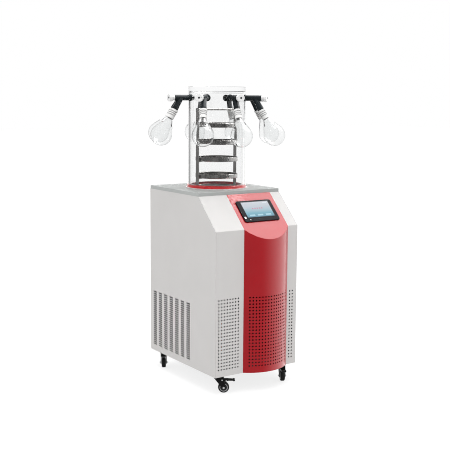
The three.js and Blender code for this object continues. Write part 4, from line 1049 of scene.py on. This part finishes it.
def vacuum_port():
    """A flanged tube from the trap out through the back, with a barb for the pump's hose."""
    start, collar, r, bore, ring = CHAMBER_Y + 0.1023, REAR + GAP, VACUUM_R, 0.010, 0.0205
    flange = collar + 0.003
    profile = rounded([(bore, start), (r, start), (r, collar), (2 * r, collar), (2 * r, flange),
                       (r, flange), (r, collar + 0.016), (1.5 * r, collar + 0.020),
                       (1.5 * r, collar + 0.024), (bore, collar + 0.024)], 0.0008)
    place = Matrix.Translation((0, 0, VACUUM_Z)) @ Matrix.Rotation(-math.pi / 2, 4, "X")
    piece("vacuum_port_tube", lathe(profile, 64), steel, "cabinet", ["vacuum_port"], place)
    for k, (x, z) in enumerate(arc(0, VACUUM_Z, ring, 90, 330, 2)):
        screw(f"vacuum_port_screw_{k + 1}", (x, flange, z), (0, 1, 0), 0.0022)


def mains_inlet():
    """A flanged housing with a socket and its three blades, and a well for the switch above it."""
    place = on_back(INLET_X, FACE_Y, INLET_Z)
    middle = -0.012  # the socket's, below the housing's
    lip = 0.005  # of the flange, past the hole
    socket = loop([(-0.013, middle + 0.009), (-0.013, middle - 0.0045), (-0.0085, middle - 0.009),
                   (0.0085, middle - 0.009), (0.013, middle - 0.0045), (0.013, middle + 0.009)], 0.001)
    well = loop([(-0.008, 0.006), (0.008, 0.006), (0.008, 0.028), (-0.008, 0.028)], 0.0006)
    flange = rounded_box(0, 0, INLET_WIDTH + 2 * lip, INLET_HEIGHT + 2 * lip, 0.004)
    parts = [sheet_with_holes(flange, [socket, well], 0.004 - GAP / 2, 0.0005)]
    for outline, depth in ((socket, 0.016), (well, 0.012)):
        wall = [(0.0030, 0.02), (0.0030, 0.14), (depth + 0.0015, 0.14), (depth + 0.0015, 0.02)]
        floor = [(depth, 0.05), (depth + 0.0012, 0.05)]
        for levels, hollow in ((wall, True), (floor, False)):
            parts.append(loft([scaled_ring(outline, -down, lambda reach, grow=grow: 1 + grow)
                               for down, grow in levels], closed=hollow))
    piece("mains_inlet_housing", joined(parts), moulded_black, "cabinet", ["power_inlet"],
          place)
    blades = [box_part((x - 0.001, y - 0.002, -0.0165), (x + 0.001, y + 0.002, -0.005), 0.0004)
              for x, y in ((-0.0065, middle - 0.002), (0, middle + 0.004), (0.0065, middle - 0.002))]
    piece("mains_inlet_blades", joined(blades), zinc, "cabinet", place=place)
    for side, word in SIDES:
        screw(f"mains_inlet_screw_{word}", (INLET_X + side * 0.0235, FACE_Y, INLET_Z + 0.001), (0, 1, 0),
              0.0023)


def mains_rocker():
    """The switch's key, pressed in at its lower half, with a bar and a ring as its marks."""
    z, half, half_width = INLET_Z + 0.017, 0.0098, 0.0077
    profile = rounded([(FACE_Y - 0.009, z), (FACE_Y - 0.0036, z - half), (FACE_Y + 0.001, z - half),
                       (FACE_Y + 0.0006, z), (FACE_Y + 0.003, z + half), (FACE_Y - 0.0036, z + half),
                       (FACE_Y - 0.009, z + 0.0004)], 0.0008)
    key = loft([[(INLET_X + dx, y, pz) for y, pz in profile] for dx in (-half_width, half_width)])
    piece("mains_rocker_key", key, rocker_black, "rocker", ["power_switch"])
    bar = box_part((-0.0006, -0.0025, 0), (0.0006, 0.0025, 0.0003), 0.0001)
    ring = lathe([(0.0018, 0), (0.0026, 0), (0.0026, 0.0003), (0.0018, 0.0003)], 32)
    for word, mark, rise, lean, out in (("on", bar, 0.005, math.atan2(0.0024, half), 0.0018),
                                        ("off", ring, -0.005, -0.04, 0.0008)):
        place = on_back(INLET_X, FACE_Y + out, z + rise) @ Matrix.Rotation(lean, 4, "X")
        piece(f"mains_rocker_{word}_mark", mark, lamp_white, "rocker", place=place)


def rear_screws():
    aside, top_aside, heights = HALF_X - 0.014, 0.080, (0.105, 0.350, 0.600, 0.860)
    spots = [(side * aside, z) for side, _ in SIDES for z in heights]
    spots += [(side * top_aside, heights[-1]) for side, _ in SIDES]
    for k, (x, z) in enumerate(spots):
        screw(f"rear_screw_{k + 1}", (x, REAR, z), (0, 1, 0), 0.0032)


# ------------------------------------------------------------------ inside the cabinet

BAY = UNDER + SHEET + GAP  # what stands on the base pan
CORE_Y, CORE_Z, CORE_HALF, CORE_HEIGHT, CORE_DEPTH = FRONT + 0.034, BAY + 0.004, 0.150, 0.266, 0.036
FAN_Y, FAN_Z, POST_Y = CORE_Y + 0.050, BAY + 0.139, CORE_Y + 0.108
COMPRESSOR_X, COMPRESSOR_Y = -0.095, 0.130


def evaporator_coil(turns=5, per_turn=48):
    radius, pitch, tube, top = 0.1095, 0.026, 0.005, PLATE_UNDER - 0.062
    points = []
    for k in range(turns * per_turn + 1):
        a = 2 * math.pi * k / per_turn
        points.append(Vector((radius * math.cos(a), radius * math.sin(a), top - pitch * k / per_turn)))
    piece("evaporator_coil_tube", sweep(points, tube, 16), copper_tube, "cabinet",
          ["evaporator_coil"], CHAMBER)


def compressor():
    """A welded can on a square foot plate, with a rubber grommet at each corner."""
    r, h, foot_at, foot_width = 0.072, 0.190, 0.071, 0.166
    can = rounded([(0, 0), (0.8 * r, 0), (r, 0.15 * h), (r, 0.5 * h), (1.05 * r, 0.5 * h),
                   (1.05 * r, 0.54 * h), (r, 0.54 * h), (0.96 * r, 0.78 * h), (0.7 * r, 0.96 * h),
                   (0, h)], 0.022, 6)
    weld = circle(1.04 * r, 0.52 * h, 0.002, 10, tall=2)
    foot = prism(rounded_box(0, 0, foot_width, foot_width, 0.030), 0.002, 0.005, 0.0005)
    place = Matrix.Translation((COMPRESSOR_X, COMPRESSOR_Y, BAY))
    piece("compressor_can", joined([lathe(can, 96), lathe(weld, 96), foot]), black_paint,
          "cabinet", ["compressor"], place, 30)
    grommet = lathe(rounded([(0, 0), (0.010, 0), (0.010, 0.002), (0.007, 0.0035), (0.010, 0.005),
                             (0.008, 0.009), (0, 0.009)], 0.0008), 32)
    for k, (x, y) in enumerate(((1, 1), (-1, 1), (1, -1), (-1, -1))):
        piece(f"compressor_grommet_{k + 1}", grommet, tyre, "cabinet",
              place=place @ Matrix.Translation((x * foot_at, y * foot_at, 0)))


def condenser(fins=88, rows=10):
    """Thin fins on a hairpin of copper tube, held by end plates on two rails, and the fan's motor."""
    behind, top, y = CORE_Y + CORE_DEPTH, CORE_Z + CORE_HEIGHT, CORE_Y + CORE_DEPTH / 2
    corners = [(CORE_Y, CORE_Z), (behind, CORE_Z), (behind, top), (CORE_Y, top)]
    sheets = [loft([[(x + dx, *corner) for corner in corners] for dx in (-0.00015, 0.00015)])
              for x in steps_between(-CORE_HALF + 0.003, CORE_HALF - 0.003, fins - 1)]
    piece("condenser_fins", joined(sheets), fin_metal_painted_shade, "cabinet", ["condenser_core"])

    points, bend_r = [], CORE_HEIGHT / rows / 2
    for k in range(rows):
        z = CORE_Z + CORE_HEIGHT * (k + 0.5) / rows
        side = 1 if k % 2 == 0 else -1
        points += [Vector((side * share * CORE_HALF, y, z)) for share in (-1, 0, 1)]
        if k < rows - 1:
            points += [Vector((side * x, y, pz))
                       for x, pz in arc(CORE_HALF, z + bend_r, bend_r, -90, 90, 8)[1:-1]]
    piece("condenser_hairpin", sweep(points, 0.0045, 12, Vector((0, 1, 0))), copper_tube,
          "cabinet")

    plate, rail_x, rail, post = 0.001, 0.130, 0.010, 0.017
    rail_top, rail_end = BAY + 0.004, CORE_Y + 0.160
    parts = []
    for x, half, z0, y1, z1, ease in ((CORE_HALF, plate, CORE_Z, behind, top, 0.0004),
                                      (rail_x, rail, BAY, rail_end, rail_top, 0.0005)):
        parts += [box_part((side * x - half, CORE_Y, z0), (side * x + half, y1, z1), ease)
                  for side, _ in SIDES]
    parts.append(box_part((-rail_x, POST_Y - post, BAY), (rail_x, POST_Y + post, rail_top), 0.0005))
    parts.append(box_part((-post, POST_Y - 0.004, BAY), (post, POST_Y + 0.004, FAN_Z)))
    piece("condenser_frame", joined(parts), zinc, "cabinet")

    r, groove, end = 0.030, 0.0285, 0.023
    shell = [(0, -end), (0.026, -end), (r, -0.019)]
    for k in range(6):
        y0 = -0.015 + k * 0.005
        shell += [(r, y0), (groove, y0 + 0.0008), (groove, y0 + 0.0025), (r, y0 + 0.0033)]
    shell += [(r, 0.019), (0.026, end), (0, end)]
    motor = moved(across(shell, 64), Matrix.Translation((0, POST_Y, FAN_Z)))
    pin, start, length = 0.0038, 0.008, POST_Y - FAN_Y
    shaft = moved(across([(0, start), (pin, start), (pin, length), (0, length)], 24),
                  Matrix.Translation((0, FAN_Y, FAN_Z)))
    piece("fan_motor_shell", joined([motor, shaft]), black_paint, "cabinet")


def fan(blades=5):
    """A hub with cambered, twisted blades."""
    length, middle, bore, floor = 0.030, FAN_Y + 0.015, 0.0043, 0.0072
    root, span, lag, camber, half_thick = 0.022, 0.076, 0.30, 0.07, 0.0009
    hub = rounded([(bore, floor), (bore, length), (0.021, length), (0.024, length - 0.002),
                   (0.024, 0.004), (0.020, 0), (0, 0), (0, floor)], 0.0012)
    parts = [moved(across(hub, 64), Matrix.Translation((0, FAN_Y, FAN_Z)))]
    for blade in range(blades):
        loops = []
        for share in steps_between(0, 1, 9):
            r, chord, pitch = root + span * share, 0.032 + 0.034 * share, math.radians(36 - 14 * share)
            near, far = [], []
            for over in steps_between(-1, 1, 8):
                turn = 2 * math.pi * blade / blades + lag * share + over * chord / 2 * math.cos(pitch) / r
                y = middle + over * chord / 2 * math.sin(pitch) + camber * chord * (1 - over ** 2)
                for face, offset in ((near, -half_thick), (far, half_thick)):
                    face.append((r * math.cos(turn), y + offset, FAN_Z + r * math.sin(turn)))
            loops.append(near + far[::-1])
        parts.append(loft(loops))
    piece("fan_blades", joined(parts), moulded_black, "fan", ["fan_rotor"], smooth=40)


def carried_over():
    """The folded base pan stays as the CAD has it, in a dark finish that is painted shade."""
    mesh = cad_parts["base_pan"].data
    mesh.materials.clear()
    mesh.materials.append(galvanised_painted_shade)


# ------------------------------------------------------------------ camera, floor and light

CAMERA_AT, LENS, SENSOR = Vector((-2.3488, -3.4972, 1.3114)), 71.9, 36
AZIMUTH, PITCH_DOWN, ROLL = math.radians(-34.08), math.radians(8.0), math.radians(0.4)
FLOOR_HALF, FLOOR_GREY, FLOOR_GLOW = 30, 0.28, 0.78
# The world as shiny things see it is dim, with two bright areas. Each has its direction, the cosines
# where it starts and where it is full, and its strength. The third line is for metal behind clear walls.
REFLECTED_DIM = 0.12
REFLECTED = (((0.75, 0.1, 0.5), -0.20, 0.72, 2.2), ((0.554, -0.12, 0.80), 0.81, 0.98, 3.5))
INSIDE_POWER, INSIDE_LEVEL, INSIDE_DIM = 2.6, 0.11, 0.15
# name, place, power and aim
LAMPS = (("softbox_above", (-0.2, -0.1, 3.2), 50, (0, -0.1, 0.8)),
         ("softbox_left", (-2.7, 0.1, 0.5), 7.5, (0, 0, 0.5)))
LAMP_SIZE = 2.0


def linked(name, data):
    obj = bpy.data.objects.new(name, data)
    scene.collection.objects.link(obj)
    return obj


def make_camera():
    right = Vector((math.cos(AZIMUTH), math.sin(AZIMUTH), 0))
    ahead = Vector((-math.sin(AZIMUTH) * math.cos(PITCH_DOWN),
                    math.cos(AZIMUTH) * math.cos(PITCH_DOWN), -math.sin(PITCH_DOWN)))
    up = right.cross(ahead)
    level = right * math.cos(ROLL) + up * math.sin(ROLL)
    above = up * math.cos(ROLL) - right * math.sin(ROLL)
    camera = linked("camera", bpy.data.cameras.new("camera"))
    camera.data.lens, camera.data.sensor_width = LENS, SENSOR
    camera.matrix_world = (Matrix.Translation(CAMERA_AT + ORIGIN)
                           @ Matrix((level, above, -ahead)).transposed().to_4x4())
    scene.camera = camera


def make_floor():
    mesh = bpy.data.meshes.new("floor")
    s = FLOOR_HALF
    mesh.from_pydata([(-s, -s, 0), (s, -s, 0), (s, s, 0), (-s, s, 0)], [], [(0, 1, 2, 3)])
    white = surface("floor_white", grey(FLOOR_GREY), 0.9, vary=0.01, specular=0.0)
    feed(white.node_tree, white.node_tree.nodes["Principled BSDF"],
         {"Emission Color": (1, 1, 1, 1), "Emission Strength": FLOOR_GLOW})
    mesh.materials.append(white)
    floor = linked("floor", mesh)
    floor.visible_glossy = floor.visible_transmission = False


def make_world():
    """White to the camera and the paint, and dimmer, with two bright areas, to shiny things."""
    world = bpy.data.worlds.new("studio")
    scene.world = world
    world.use_nodes = True
    tree = world.node_tree
    place = tree.nodes.new("ShaderNodeTexCoord").outputs["Generated"]
    reflected = REFLECTED_DIM
    for toward, first, last, strength in REFLECTED:
        along = tree.nodes.new("ShaderNodeVectorMath")
        along.operation = "DOT_PRODUCT"
        feed(tree, along, {0: place, 1: Vector(toward).normalized()})
        lobe = smooth_step(tree, along.outputs["Value"], first, last, strength)
        reflected = math_node(tree, "ADD", lobe, reflected)
    path = tree.nodes.new("ShaderNodeLightPath").outputs
    soft = math_node(tree, "SUBTRACT", 1.0, path["Is Singular Ray"])
    glossy = math_node(tree, "MULTIPLY", path["Is Glossy Ray"], soft)
    mirrored = math_node(tree, "MULTIPLY", glossy, path["Is Reflection Ray"])
    bounced = math_node(tree, "GREATER_THAN", path["Glossy Depth"], 0.5)
    inside = math_node(tree, "MULTIPLY", bounced, path["Is Transmission Ray"])
    steeper = math_node(tree, "MULTIPLY", math_node(tree, "POWER", reflected, INSIDE_POWER), INSIDE_LEVEL)
    strength = mixed(tree, mirrored, 1.0, reflected)
    strength = mixed(tree, inside, strength, math_node(tree, "ADD", steeper, INSIDE_DIM))
    feed(tree, tree.nodes["Background"], {"Color": (1, 1, 1, 1), "Strength": strength})


def make_lamps():
    for name, where, power, aim in LAMPS:
        lamp = linked(name, bpy.data.lights.new(name, "AREA"))
        lamp.data.shape, lamp.data.size, lamp.data.energy = "SQUARE", LAMP_SIZE, power
        lamp.visible_camera = lamp.visible_glossy = lamp.visible_transmission = False
        lamp.location = where
        lamp.rotation_euler = (Vector(aim) - Vector(where)).to_track_quat("-Z", "Y").to_euler()


def make_studio():
    make_camera()
    make_floor()
    make_world()
    make_lamps()
    scene.view_settings.view_transform = "Standard"
    scene.cycles.max_bounces = scene.cycles.transmission_bounces = 24
    scene.cycles.filter_width = 1.0


# ------------------------------------------------------------------ the whole unit


def build():
    inner = HALF_X - SHEET - GAP
    flat_front("front_left_panel", -inner, RED_LEFT, -HALF_X + 0.018, 8)
    flat_front("front_right_panel", RED_RIGHT, inner, RED_RIGHT + 0.0165, 2)
    red_front()
    for made in (side_panel, dust_filter):
        for side, word in SIDES:
            made(word, side)
    for made in (top_plate, rear_panel, screen_surround, display, cold_trap, gasket, chamber_tube,
                 chamber_lid, rack):
        made()
    for level in range(len(LEVELS)):
        tray_dish(level)
    for k in range(PORTS):
        valve(k)
        knob(k)
        flask(k)
    for one in CASTERS:
        caster(*one)
    for made in (vacuum_port, mains_inlet, mains_rocker, rear_screws, evaporator_coil, compressor,
                 condenser, fan, carried_over):
        made()


build()
make_studio()
